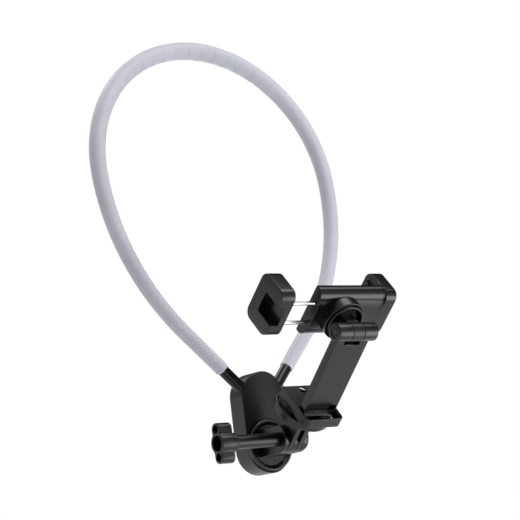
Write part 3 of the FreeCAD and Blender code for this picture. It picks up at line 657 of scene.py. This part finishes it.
def prism(outline: list[Vector], along: Vector) -> bmesh.types.BMesh:
    """A closed prism from a flat outline.

    Args:
        outline: the corners in order.
        along: the way and length of the prism.

    Returns:
        The prism.
    """
    shape = bmesh.new()
    low = [shape.verts.new(p) for p in outline]
    high = [shape.verts.new(p + along) for p in outline]
    count = len(outline)
    shape.faces.new(low)
    shape.faces.new(high)
    for k in range(count):
        shape.faces.new((low[k], low[(k + 1) % count], high[(k + 1) % count], high[k]))
    bmesh.ops.recalc_face_normals(shape, faces=shape.faces)
    return shape


def point_mesh(points: list[Vector]) -> bpy.types.Mesh:
    """A mesh of loose points."""
    mesh = bpy.data.meshes.new("points")
    mesh.from_pydata([tuple(p) for p in points], [], [])
    return mesh


def repeated(stamp: bmesh.types.BMesh, points: list[Vector], dress: bpy.types.Material,
             name: str) -> bpy.types.Mesh:
    """Repeat one small shape at several points with geometry nodes.

    Args:
        stamp: the shape, about its own origin.
        points: where the copies go.
        dress: the material of the copies.
        name: the result's name.

    Returns:
        One plain mesh of all the copies.
    """
    mesh = bpy.data.meshes.new(name + "_stamp")
    stamp.to_mesh(mesh)
    stamp.free()
    master = new_piece(name + "_master", mesh)
    tree = GeometryTree(name + "_tree")
    points_in, stamp_in, finish = tree.values(
        {"Points": Socket.GEOMETRY, "Stamp": Socket.OBJECT, "Finish": Socket.MATERIAL})
    info = tree.node("GeometryNodeObjectInfo", {"Object": stamp_in})
    tree.close(tree.copies(points_in, info.outputs["Geometry"]), finish)
    made = tree.grow(point_mesh(points), {"Stamp": master, "Finish": dress}, name)
    bpy.data.objects.remove(master)
    return made


# Local frames of the rest attitude


@dataclass(frozen=True)
class Attitude:
    """How the chest piece, the hoop and the head sit at rest."""

    chest_lean: float = math.radians(13.5)
    hoop_lean: float = math.radians(20.5)
    head_lean: float = math.radians(36.0)
    pivot_in_chest: Triple = (0.0, -36.33, -13.74)
    hoop_in_chest: Triple = (0.0, -10.2, 32.3)

    def chest(self) -> Matrix:
        """From the chest piece's own frame to the row frame."""
        return Matrix.Rotation(-self.chest_lean, 4, "X")

    def hoop(self) -> Matrix:
        """From the hoop's plane to the row frame."""
        foot = Matrix.Translation(self.chest() @ mm(*self.hoop_in_chest))
        return foot @ Matrix.Rotation(-self.hoop_lean, 4, "X")

    def head(self) -> Matrix:
        """From the holder's head frame to the row frame."""
        pivot = Matrix.Translation(self.chest() @ mm(*self.pivot_in_chest))
        return pivot @ Matrix.Rotation(self.head_lean, 4, "X")


REST = Attitude()


# Sub-assemblies


@dataclass(frozen=True)
class Moulding:
    """A CAD node that is shown with eased edges, and how far the easing reaches in mm."""

    name: str
    node: str
    edge: float
    body: Body


@dataclass(frozen=True)
class CrossRecess:
    """The cross-shaped driver recess of a small screw, in mm."""

    span: float
    blade: float
    depth: float
    clear: float = 0.3

    def cutter(self, axis: Vector) -> bmesh.types.BMesh:
        """The recess as a closed shape, its mouth at the origin.

        Args:
            axis: the way that the screw's head faces.

        Returns:
            The cutter.
        """
        a, b = self.span / 2, self.blade / 2
        corners = [(a, b), (b, b), (b, a), (-b, a), (-b, b), (-a, b),
                   (-a, -b), (-b, -b), (-b, -a), (b, -a), (b, -b), (a, -b)]
        turn = Vector((0, 0, 1)).rotation_difference(axis).to_matrix()
        outline = [turn @ mm(x, y, -self.depth) for x, y in corners]
        return prism(outline, turn @ mm(0, 0, self.depth + self.clear))


@dataclass
class SubAssembly:
    """Pieces that are made and dressed together."""

    wardrobe: Wardrobe

    def fit(self, name: str, mesh: bpy.types.Mesh, node: str, body: Body) -> bpy.types.Object:
        """Make a dressed piece and put it on its body in place of a CAD node.

        Args:
            name: the piece's name.
            mesh: its mesh.
            node: the CAD node that it stands for.
            body: the body that it rides on.

        Returns:
            The piece.
        """
        piece = new_piece(name, mesh)
        self.wardrobe.dress(piece, self.wardrobe.slots[node])
        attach(piece, body.value)
        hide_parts(node)
        return piece

    def soften(self, mouldings: tuple[Moulding, ...]) -> list[bpy.types.Object]:
        """Make mouldings with eased edges from their CAD nodes."""
        return [self.fit(m.name, eased(m.node, m.edge), m.node, m.body) for m in mouldings]

    def cut(self, name: str, node: str, body: Body, stamp: bmesh.types.BMesh,
            points: list[Vector], angle: float) -> bpy.types.Object:
        """Make a piece from its CAD node with one small shape cut out at several points.

        Args:
            name: the piece's name.
            node: the CAD node that it stands for.
            body: the body that it rides on.
            stamp: the shape to cut out, about its own origin.
            points: where the cuts go.
            angle: the smoothing angle in degrees.

        Returns:
            The piece.
        """
        knife = repeated(stamp, points, self.wardrobe.finish_of(node), name + "_cuts")
        return self.fit(name, carved(node, knife, angle), node, body)


@dataclass
class NeckHoop(SubAssembly):
    """The bent sleeve, with the folds pressed into its inner side, and its end stubs, in mm."""

    top_radius: float = 93.4
    top_height: float = 138.8
    foot_x: float = 25.9
    foot_height: float = 3.7
    straight: float = 35.0
    top_diameter: float = 12.1
    end_diameter: float = 9.2
    step: float = 0.8
    facets: int = 48
    fold_pitch: float = 11.2
    fold_reach: float = 62.0
    fold_fade: int = 4
    fold_depth: float = 0.5
    fold_width: float = 1.1
    fold_slant: float = 3.4
    fold_sides: tuple[float, float] = (-0.45, 0.75)
    lip: float = 0.6
    lip_rings: int = 5
    stubs: tuple[Moulding, ...] = (
        Moulding("left_stub", "left_ferrule", 0.3, Body.CHEST),
        Moulding("right_stub", "right_ferrule", 0.3, Body.CHEST),
    )

    def __post_init__(self) -> None:
        """Find the side arcs that join the top arc to the straight ends."""
        across = self.top_radius - self.foot_x
        fall = self.top_height - self.foot_height
        self.side_radius = (across ** 2 + fall ** 2 - self.straight ** 2) / (2 * across)
        self.side_turn = (math.atan2(fall, self.side_radius - across)
                          - math.atan2(self.straight, self.side_radius))
        self.quarter = self.top_radius * math.pi / 2
        self.half = self.quarter + self.side_radius * self.side_turn + self.straight

    def right_side(self, length: float) -> tuple[Vector, Vector]:
        """Centre and inward direction on the right half of the hoop.

        Args:
            length: the way from the top of the hoop, in mm.

        Returns:
            The centre in mm and the unit direction towards the inside of the bend.
        """
        top = Vector((0, 0, self.top_height))
        if length <= self.quarter:
            angle = length / self.top_radius
            out = Vector((math.sin(angle), 0, math.cos(angle)))
            return top + out * self.top_radius, -out
        angle = min((length - self.quarter) / self.side_radius, self.side_turn)
        out = Vector((math.cos(angle), 0, -math.sin(angle)))
        centre = top + Vector((self.top_radius - self.side_radius, 0, 0)) + out * self.side_radius
        beyond = length - self.quarter - self.side_radius * self.side_turn
        if beyond > 0:
            centre += Vector((-math.sin(angle), 0, -math.cos(angle))) * beyond
        return centre, -out

    def stations(self) -> list[float]:
        """Signed lengths from the top at which the sleeve is drawn, closer at its rounded ends."""
        inner = self.half - self.lip
        count = int(2 * inner / self.step)
        even = [-inner + 2 * inner * k / count for k in range(count + 1)]
        ends = [inner + self.lip * math.sin(math.pi / 2 * k / self.lip_rings)
                for k in range(1, self.lip_rings + 1)]
        return [-e for e in reversed(ends)] + even + ends

    def path(self) -> bpy.types.Mesh:
        """The middle line as a mesh, with what the sleeve needs at each point as attributes."""
        place = REST.hoop()
        turn = place.to_3x3()
        points, inwards = [], []
        numbers = {"reach": [], "fold_share": [], "along": [], "lip_share": []}
        for along in self.stations():
            centre, inward = self.right_side(abs(along))
            side = math.copysign(1.0, along)
            widening = (self.top_diameter - self.end_diameter) * (1 - abs(along) / self.half)
            into_lip = max(0.0, abs(along) - self.half + self.lip)
            rounding = self.lip - math.sqrt(max(0.0, self.lip ** 2 - into_lip ** 2))
            points.append(tuple(place @ mm(side * centre.x, 0, centre.z)))
            inwards.extend(turn @ Vector((side * inward.x, 0, inward.z)))
            numbers["reach"].append(((self.end_diameter + widening) / 2 - rounding) * MM)
            faded = (abs(along) / self.fold_reach) ** self.fold_fade
            numbers["fold_share"].append(max(0.0, 1.0 - faded))
            numbers["along"].append(along * MM)
            # 1 on the rounded ends, where the sleeve's colour paints a highlight.
            numbers["lip_share"].append(1.0 if into_lip > 0 else 0.0)
        mesh = bpy.data.meshes.new("hoop_path")
        mesh.from_pydata(points, [(k, k + 1) for k in range(len(points) - 1)], [])
        vectors = {"inward": inwards, "centre": [c for point in points for c in point]}
        for name, flat in vectors.items():
            made = mesh.attributes.new(name, "FLOAT_VECTOR", "POINT")
            made.data.foreach_set("vector", flat)
        for name, flat in numbers.items():
            made = mesh.attributes.new(name, "FLOAT", "POINT")
            made.data.foreach_set("value", flat)
        return mesh

    def sleeve_tree(self) -> GeometryTree:
        """The node group that draws the sleeve round its path and presses the folds in."""
        tree = GeometryTree("silicone_sleeve_tree")
        path_in, facets, pitch, width, depth, slant, across, finish = tree.values({
            "Path": Socket.GEOMETRY, "Facets": Socket.INT, "Fold pitch": Socket.FLOAT,
            "Fold width": Socket.FLOAT, "Fold depth": Socket.FLOAT, "Fold slant": Socket.FLOAT,
            "Across": Socket.VECTOR, "Finish": Socket.MATERIAL})
        line = tree.node("GeometryNodeMeshToCurve", {"Mesh": path_in})
        section = tree.node("GeometryNodeCurvePrimitiveCircle",
                            {"Resolution": facets, "Radius": MM})
        tube = tree.tube(line.outputs["Curve"], section.outputs["Curve"])
        centre = tree.attribute("centre", "FLOAT_VECTOR")
        spot = tree.node("GeometryNodeInputPosition").outputs["Position"]
        out = tree.vector("NORMALIZE", tree.vector("SUBTRACT", spot, centre))
        inner = tree.vector("DOT_PRODUCT", out, tree.attribute("inward", "FLOAT_VECTOR"))
        start, full = self.fold_sides
        band = tree.node("ShaderNodeMapRange",
                         {"Value": inner, "From Min": start, "From Max": full},
                         interpolation_type="SMOOTHSTEP").outputs["Result"]
        aside = tree.vector("DOT_PRODUCT", out, across)
        slid = tree.math("MULTIPLY_ADD", aside, slant, tree.attribute("along"))
        phase = tree.math("WRAP", slid, tree.math("MULTIPLY", pitch, 0.5),
                          tree.math("MULTIPLY", pitch, -0.5))
        ratio = tree.math("DIVIDE", phase, width)
        square = tree.math("MULTIPLY", ratio, ratio)
        pulse = tree.math("EXPONENT", tree.math("MULTIPLY", square, -1.0))
        share = tree.math("MULTIPLY", band, tree.attribute("fold_share"))
        pressed = tree.math("MULTIPLY", tree.math("MULTIPLY", pulse, depth), share)
        reach = tree.math("SUBTRACT", tree.attribute("reach"), pressed)
        skin = tree.vector("ADD", centre, tree.vector("SCALE", out, reach))
        shaped = tree.node("GeometryNodeSetPosition", {"Geometry": tube, "Position": skin})
        flow = tree.node("GeometryNodeSetShadeSmooth", {"Geometry": shaped.outputs["Geometry"]})
        tree.close(flow.outputs["Geometry"], finish)
        return tree

    def sleeve(self) -> bpy.types.Object:
        """The sleeve in place of its plain solid."""
        across = REST.hoop().to_3x3() @ Vector((0, 1, 0))
        inputs = {"Facets": self.facets, "Across": tuple(across),
                  "Fold pitch": self.fold_pitch * MM, "Fold width": self.fold_width * MM,
                  "Fold depth": self.fold_depth * MM, "Fold slant": self.fold_slant * MM,
                  "Finish": self.wardrobe.finish_of("neck_sleeve")}
        mesh = self.sleeve_tree().grow(self.path(), inputs, "silicone_sleeve")
        smooth(mesh, TUBE_SMOOTH)
        return self.fit("silicone_sleeve", mesh, "neck_sleeve", Body.CHEST)

    def build(self) -> list[bpy.types.Object]:
        """Make every dressed piece of the hoop."""
        return [self.sleeve(), *self.soften(self.stubs)]


@dataclass
class ChestPiece(SubAssembly):
    """The chest piece with its turret, its back cover and the cover's screws, in mm."""

    recess: CrossRecess = CrossRecess(2.5, 0.62, 0.75)
    head_face: float = -0.1
    screws: tuple[tuple[float, float], ...] = ((0.0, -27.2), (-12.1, 3.6), (12.1, 3.6))
    mouldings: tuple[Moulding, ...] = (
        Moulding("chest_shell", "pendant_shell", 0.5, Body.CHEST),
        Moulding("chest_cover", "pendant_cover", 0.25, Body.CHEST),
        Moulding("finger_turret", "finger_mount", 0.35, Body.CHEST),
        Moulding("finger_nut", "captive_nut", 0.3, Body.CHEST),
    )

    def cover_screws(self) -> bpy.types.Object:
        """The three back screws with their cross recesses."""
        place = REST.chest()
        axis = (place.to_3x3() @ Vector((0, 1, 0))).normalized()
        points = [place @ mm(x, self.head_face, z) for x, z in self.screws]
        return self.cut("cover_screws", "pendant_screws", Body.CHEST, self.recess.cutter(axis),
                        points, SCREW_SMOOTH)

    def build(self) -> list[bpy.types.Object]:
        """Make every dressed piece of the chest piece."""
        return [*self.soften(self.mouldings), self.cover_screws()]


@dataclass
class HolderHead(SubAssembly):
    """The pieces between the turret and the clamp: knob, table, tray, arm and leaf."""

    mouldings: tuple[Moulding, ...] = (
        Moulding("wing_knob", "thumb_knob", 0.3, Body.THUMB),
        Moulding("round_table", "adapter", 0.35, Body.TABLE),
        Moulding("tray_shell", "tray", 0.35, Body.TRAY),
        Moulding("folding_arm", "arm", 0.25, Body.ARM),
        Moulding("knuckle_nut", "hinge_nut", 0.25, Body.ARM),
        Moulding("leaf_plate", "swivel_leaf", 0.3, Body.LEAF),
    )

    def build(self) -> list[bpy.types.Object]:
        """Make every dressed piece of the head."""
        return self.soften(self.mouldings)


@dataclass
class SprungClamp(SubAssembly):
    """The clamp's bar and jaws, its grooved rubber, its small screws and its springs, in mm."""

    middle: float = 95.75
    plate_face: float = 16.1
    plate_screws_x: tuple[float, float] = (-16.4, 24.9)
    plate_screws_z: float = 11.7
    recess: CrossRecess = CrossRecess(1.9, 0.45, 0.5)
    groove: float = 0.8
    pad_face: float = 16.65
    pad_x: tuple[float, float] = (-15.0, 23.5)
    pad_grooves: int = 15
    pad_cut: float = 0.7
    pad_cut_length: float = 17.0
    jaw_pad_y: tuple[float, float] = (17.4, 24.6)
    jaw_pad_height: float = 24.0
    jaw_grooves: int = 9
    jaw_cut: float = 0.5
    jaw_cut_length: float = 9.0
    fixed_face: float = 30.45
    moving_face: float = -40.45
    rod_y: float = 10.6
    rod_spread: float = 15.0
    spring_x: tuple[float, float] = (-14.7, 5.4)
    spring_radius: float = 1.78
    spring_wire: float = 0.25
    spring_turns: float = 7.0
    turn_steps: int = 24
    wire_facets: int = 8
    mouldings: tuple[Moulding, ...] = (
        Moulding("clamp_bar", "clamp_body", 0.3, Body.CLAMP),
        Moulding("back_plate", "clamp_plate", 0.2, Body.CLAMP),
        Moulding("right_jaw", "fixed_jaw", 0.25, Body.CLAMP),
        Moulding("left_jaw", "moving_jaw", 0.25, Body.JAW),
    )

    def bar(self, size: Triple) -> bmesh.types.BMesh:
        """A straight groove cutter about the origin, turned with the head.

        Args:
            size: its full size along the head's X, Y and Z, in mm.

        Returns:
            The cutter.
        """
        turn = REST.head().to_3x3()
        x, y, z = (s / 2 for s in size)
        corners = ((-x, -y), (x, -y), (x, y), (-x, y))
        return prism([turn @ mm(a, b, -z) for a, b in corners], turn @ mm(0, 0, 2 * z))

    def back_pad(self) -> bpy.types.Object:
        """The rubber pad on the back plate, with upright grooves."""
        place = REST.head()
        low, high = self.pad_x
        pitch = (high - low) / (self.pad_grooves + 1)
        points = [place @ mm(low + pitch * (k + 1), self.pad_face, self.middle)
                  for k in range(self.pad_grooves)]
        stamp = self.bar((self.groove, self.pad_cut, self.pad_cut_length))
        return self.cut("back_pad", "clamp_pad", Body.CLAMP, stamp, points, RUBBER_SMOOTH)

    def jaw_strip(self, name: str, node: str, face: float, body: Body) -> bpy.types.Object:
        """A jaw's rubber strip with cross grooves.

        Args:
            name: the piece's name.
            node: the CAD node that it stands for.
            face: where its gripping face is along X, in mm.
            body: the body that it rides on.

        Returns:
            The strip.
        """
        place = REST.head()
        pitch = self.jaw_pad_height / (self.jaw_grooves + 1)
        start = self.middle - self.jaw_pad_height / 2
        centre = sum(self.jaw_pad_y) / 2
        points = [place @ mm(face, centre, start + pitch * (k + 1))
                  for k in range(self.jaw_grooves)]
        stamp = self.bar((self.jaw_cut, self.jaw_cut_length, self.groove))
        return self.cut(name, node, body, stamp, points, RUBBER_SMOOTH)

    def small_screws(self) -> bpy.types.Object:
        """The back plate's screws with their cross recesses."""
        place = REST.head()
        axis = (place.to_3x3() @ Vector((0, 1, 0))).normalized()
        points = [place @ mm(x, self.plate_face, self.middle + s * self.plate_screws_z)
                  for x in self.plate_screws_x for s in (-1, 1)]
        return self.cut("back_plate_screws", "plate_screws", Body.CLAMP,
                        self.recess.cutter(axis), points, SCREW_SMOOTH)

    def spring_tree(self) -> GeometryTree:
        """The node group that winds a coil along X and repeats it at each point."""
        tree = GeometryTree("jaw_spring_tree")
        points_in, turns, radius, length, wire, finish = tree.values({
            "Points": Socket.GEOMETRY, "Turns": Socket.FLOAT, "Radius": Socket.FLOAT,
            "Length": Socket.FLOAT, "Wire": Socket.FLOAT, "Finish": Socket.MATERIAL})
        spiral = tree.node("GeometryNodeCurveSpiral", {
            "Resolution": self.turn_steps, "Rotations": turns, "Start Radius": radius,
            "End Radius": radius, "Height": length})
        laid = tree.node("GeometryNodeTransform", {"Geometry": spiral.outputs["Curve"],
                                                   "Rotation": (0, math.pi / 2, 0)})
        section = tree.node("GeometryNodeCurvePrimitiveCircle",
                            {"Resolution": self.wire_facets, "Radius": wire})
        coil = tree.tube(laid.outputs["Geometry"], section.outputs["Curve"])
        tree.close(tree.copies(points_in, coil), finish)
        return tree

    def springs(self) -> bpy.types.Object:
        """The two coils, held by the bar at one end and pressed by the rods' stops at the other."""
        place = REST.head()
        low, high = self.spring_x
        points = [place @ mm(low, self.rod_y, self.middle + s * self.rod_spread / 2)
                  for s in (-1, 1)]
        inputs = {"Turns": self.spring_turns, "Radius": self.spring_radius * MM,
                  "Length": (high - low) * MM, "Wire": self.spring_wire * MM,
                  "Finish": self.wardrobe.finish_of("jaw_springs")}
        mesh = self.spring_tree().grow(point_mesh(points), inputs, "coil_springs")
        smooth(mesh, TUBE_SMOOTH)
        springs = new_piece("coil_springs", mesh)
        self.wardrobe.dress(springs, self.wardrobe.slots["jaw_springs"])
        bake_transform(springs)
        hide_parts("jaw_springs")
        return springs

    def build(self) -> list[bpy.types.Object]:
        """Make every dressed piece of the clamp."""
        return [
            *self.soften(self.mouldings),
            self.back_pad(),
            self.jaw_strip("fixed_jaw_strip", "fixed_jaw_pad", self.fixed_face, Body.CLAMP),
            self.jaw_strip("moving_jaw_strip", "moving_jaw_pad", self.moving_face, Body.JAW),
            self.small_screws(),
            self.springs(),
        ]


# Studio


@dataclass(frozen=True)
class Lamp:
    """A square soft lamp: its place and side in metres, its power in watts."""

    name: str
    place: Triple
    size: float
    watts: float

    def stand(self, target: Triple) -> None:
        """Stand the lamp in the scene.

        Args:
            target: the point that it looks at.
        """
        data = bpy.data.lights.new(self.name, "AREA")
        data.size = self.size
        data.energy = self.watts
        lamp = bpy.data.objects.new(self.name, data)
        lamp.location = self.place
        aim = Vector(target) - Vector(self.place)
        lamp.rotation_euler = aim.to_track_quat("-Z", "Y").to_euler()
        lamp.visible_camera = False
        bpy.context.scene.collection.objects.link(lamp)


@dataclass
class Studio:
    """A pale floor, soft lamps, a white surround and the camera, in metres and degrees."""

    floor_height: float = -0.36
    floor_reach: float = 9.0
    floor_grey: float = 0.9
    floor_fade: tuple[float, float] = (0.3, 0.95)
    floor_glow: float = 0.6
    ambient: float = 1.3
    bright_side: Triple = (-0.85, -0.3, -0.4)
    room_stops: tuple[tuple[float, float], ...] = ((-0.75, 0.03), (-0.4, 0.75), (0.2, 0.36))
    lamps: tuple[Lamp, ...] = (
        Lamp("overhead", (0.42, -0.34, 1.38), 1.0, 11.0),
        Lamp("front", (0.51, -0.53, -0.12), 0.44, 2.1),
        Lamp("back", (-0.3, 1.1, 1.1), 0.7, 5.0),
    )
    lamp_target: Triple = (0.0, -0.02, 0.08)
    camera_bearing: float = -36.42
    camera_rise: float = 1.04
    camera_roll: float = 1.17
    camera_distance: float = 1.1703
    camera_aim: Triple = (0.0, -0.02, 0.06)
    camera_slide: tuple[float, float] = (0.00833, -0.04958)
    camera_clip: tuple[float, float] = (0.05, 50.0)
    lens: float = 124.6
    sensor: float = 36.0

    def surround(self) -> None:
        """A world that is white to the eye, and for light and gloss a room with a dim side."""
        world = bpy.data.worlds.new("white_surround")
        bpy.context.scene.world = world
        desk = ShaderDesk(world)
        way = desk.node("ShaderNodeTexCoord").outputs["Generated"]
        facing = desk.vector("DOT_PRODUCT", way, Vector(self.bright_side).normalized())
        share = desk.node("ShaderNodeMapRange", {"Value": facing, "From Min": -1.0})
        room = desk.node("ShaderNodeValToRGB", {"Fac": share.outputs["Result"]})
        stops = room.color_ramp.elements
        stops.new(0.5)
        for stop, (side, grey) in zip(stops, self.room_stops):
            stop.position = (1 + side) / 2
            stop.color = (grey, grey, grey, 1)
        soft, mirrored, seen = (
            desk.node("ShaderNodeBackground", inputs).outputs["Background"] for inputs in (
                {"Color": room.outputs["Color"], "Strength": self.ambient},
                {"Color": room.outputs["Color"]},
                {"Color": WHITE}))
        lit = desk.mix(desk.eye_rays(), soft, mirrored)
        desk.node("ShaderNodeOutputWorld", {"Surface": desk.mix(desk.ray("Camera"), lit, seen)})

    def floor(self) -> None:
        """A pale floor that takes the shadow near the object and is white far away."""
        mesh = bpy.data.meshes.new("pale_floor")
        r, z = self.floor_reach, self.floor_height
        mesh.from_pydata([(-r, -r, z), (r, -r, z), (r, r, z), (-r, r, z)], [], [(0, 1, 2, 3)])
        floor = new_piece("pale_floor", mesh)
        material = bpy.data.materials.new("pale_floor")
        desk = ShaderDesk(material)
        spot = desk.node("ShaderNodeTexCoord").outputs["Object"]
        away = desk.node("ShaderNodeVectorMath", {0: spot}, operation="LENGTH")
        near, far = self.floor_fade
        fade = desk.node("ShaderNodeMapRange",
                         {"Value": away.outputs["Value"], "From Min": near, "From Max": far,
                          "To Min": self.floor_glow}, interpolation_type="SMOOTHSTEP")
        shown = desk.math("MAXIMUM", fade.outputs["Result"], desk.ray("Glossy"))
        share = desk.math("MULTIPLY", shown, desk.eye_rays())
        matte = desk.node("ShaderNodeBsdfDiffuse", {"Color": (*[self.floor_grey] * 3, 1)})
        glow = desk.node("ShaderNodeEmission", {"Color": WHITE, "Strength": 1.0})
        paint = desk.mix(share, matte.outputs["BSDF"], glow.outputs["Emission"])
        desk.node("ShaderNodeOutputMaterial", {"Surface": paint})
        mesh.materials.append(material)

    def camera(self) -> None:
        """Stand the camera where the photo was taken from."""
        bearing, rise, roll = (math.radians(a) for a in (
            self.camera_bearing, self.camera_rise, self.camera_roll))
        right = Vector((math.cos(bearing), math.sin(bearing), 0))
        level = Vector((math.sin(bearing), -math.cos(bearing), 0))
        back = level * math.cos(rise) + Vector((0, 0, math.sin(rise)))
        up = Vector((0, 0, math.cos(rise))) - level * math.sin(rise)
        wide = right * math.cos(roll) + up * math.sin(roll)
        tall = up * math.cos(roll) - right * math.sin(roll)
        slide_x, slide_z = self.camera_slide
        aim = Vector(self.camera_aim)
        place = aim + back * self.camera_distance - wide * slide_x - tall * slide_z
        data = bpy.data.cameras.new("photo_camera")
        data.lens = self.lens
        data.sensor_width = self.sensor
        data.clip_start, data.clip_end = self.camera_clip
        camera = bpy.data.objects.new("photo_camera", data)
        columns = [(*side, 0) for side in (wide, tall, back)] + [(*place, 1)]
        camera.matrix_world = Matrix(columns).transposed()
        bpy.context.scene.collection.objects.link(camera)
        bpy.context.scene.camera = camera

    def build(self) -> None:
        """Set up the whole studio."""
        bpy.context.scene.view_settings.view_transform = "Standard"
        self.surround()
        self.floor()
        for lamp in self.lamps:
            lamp.stand(self.lamp_target)
        self.camera()


def main() -> None:
    """Build and dress the holder, then light it."""
    logging.basicConfig(level=logging.INFO, format="%(message)s")
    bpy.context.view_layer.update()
    wardrobe = Wardrobe()
    wardrobe.dress_nodes()
    for kind in (NeckHoop, ChestPiece, HolderHead, SprungClamp):
        for piece in kind(wardrobe).build():
            LOG.info("%s: %s, %d faces", kind.__name__, piece.name, len(piece.data.polygons))
    Studio().build()


if __name__ == "__main__":
    main()
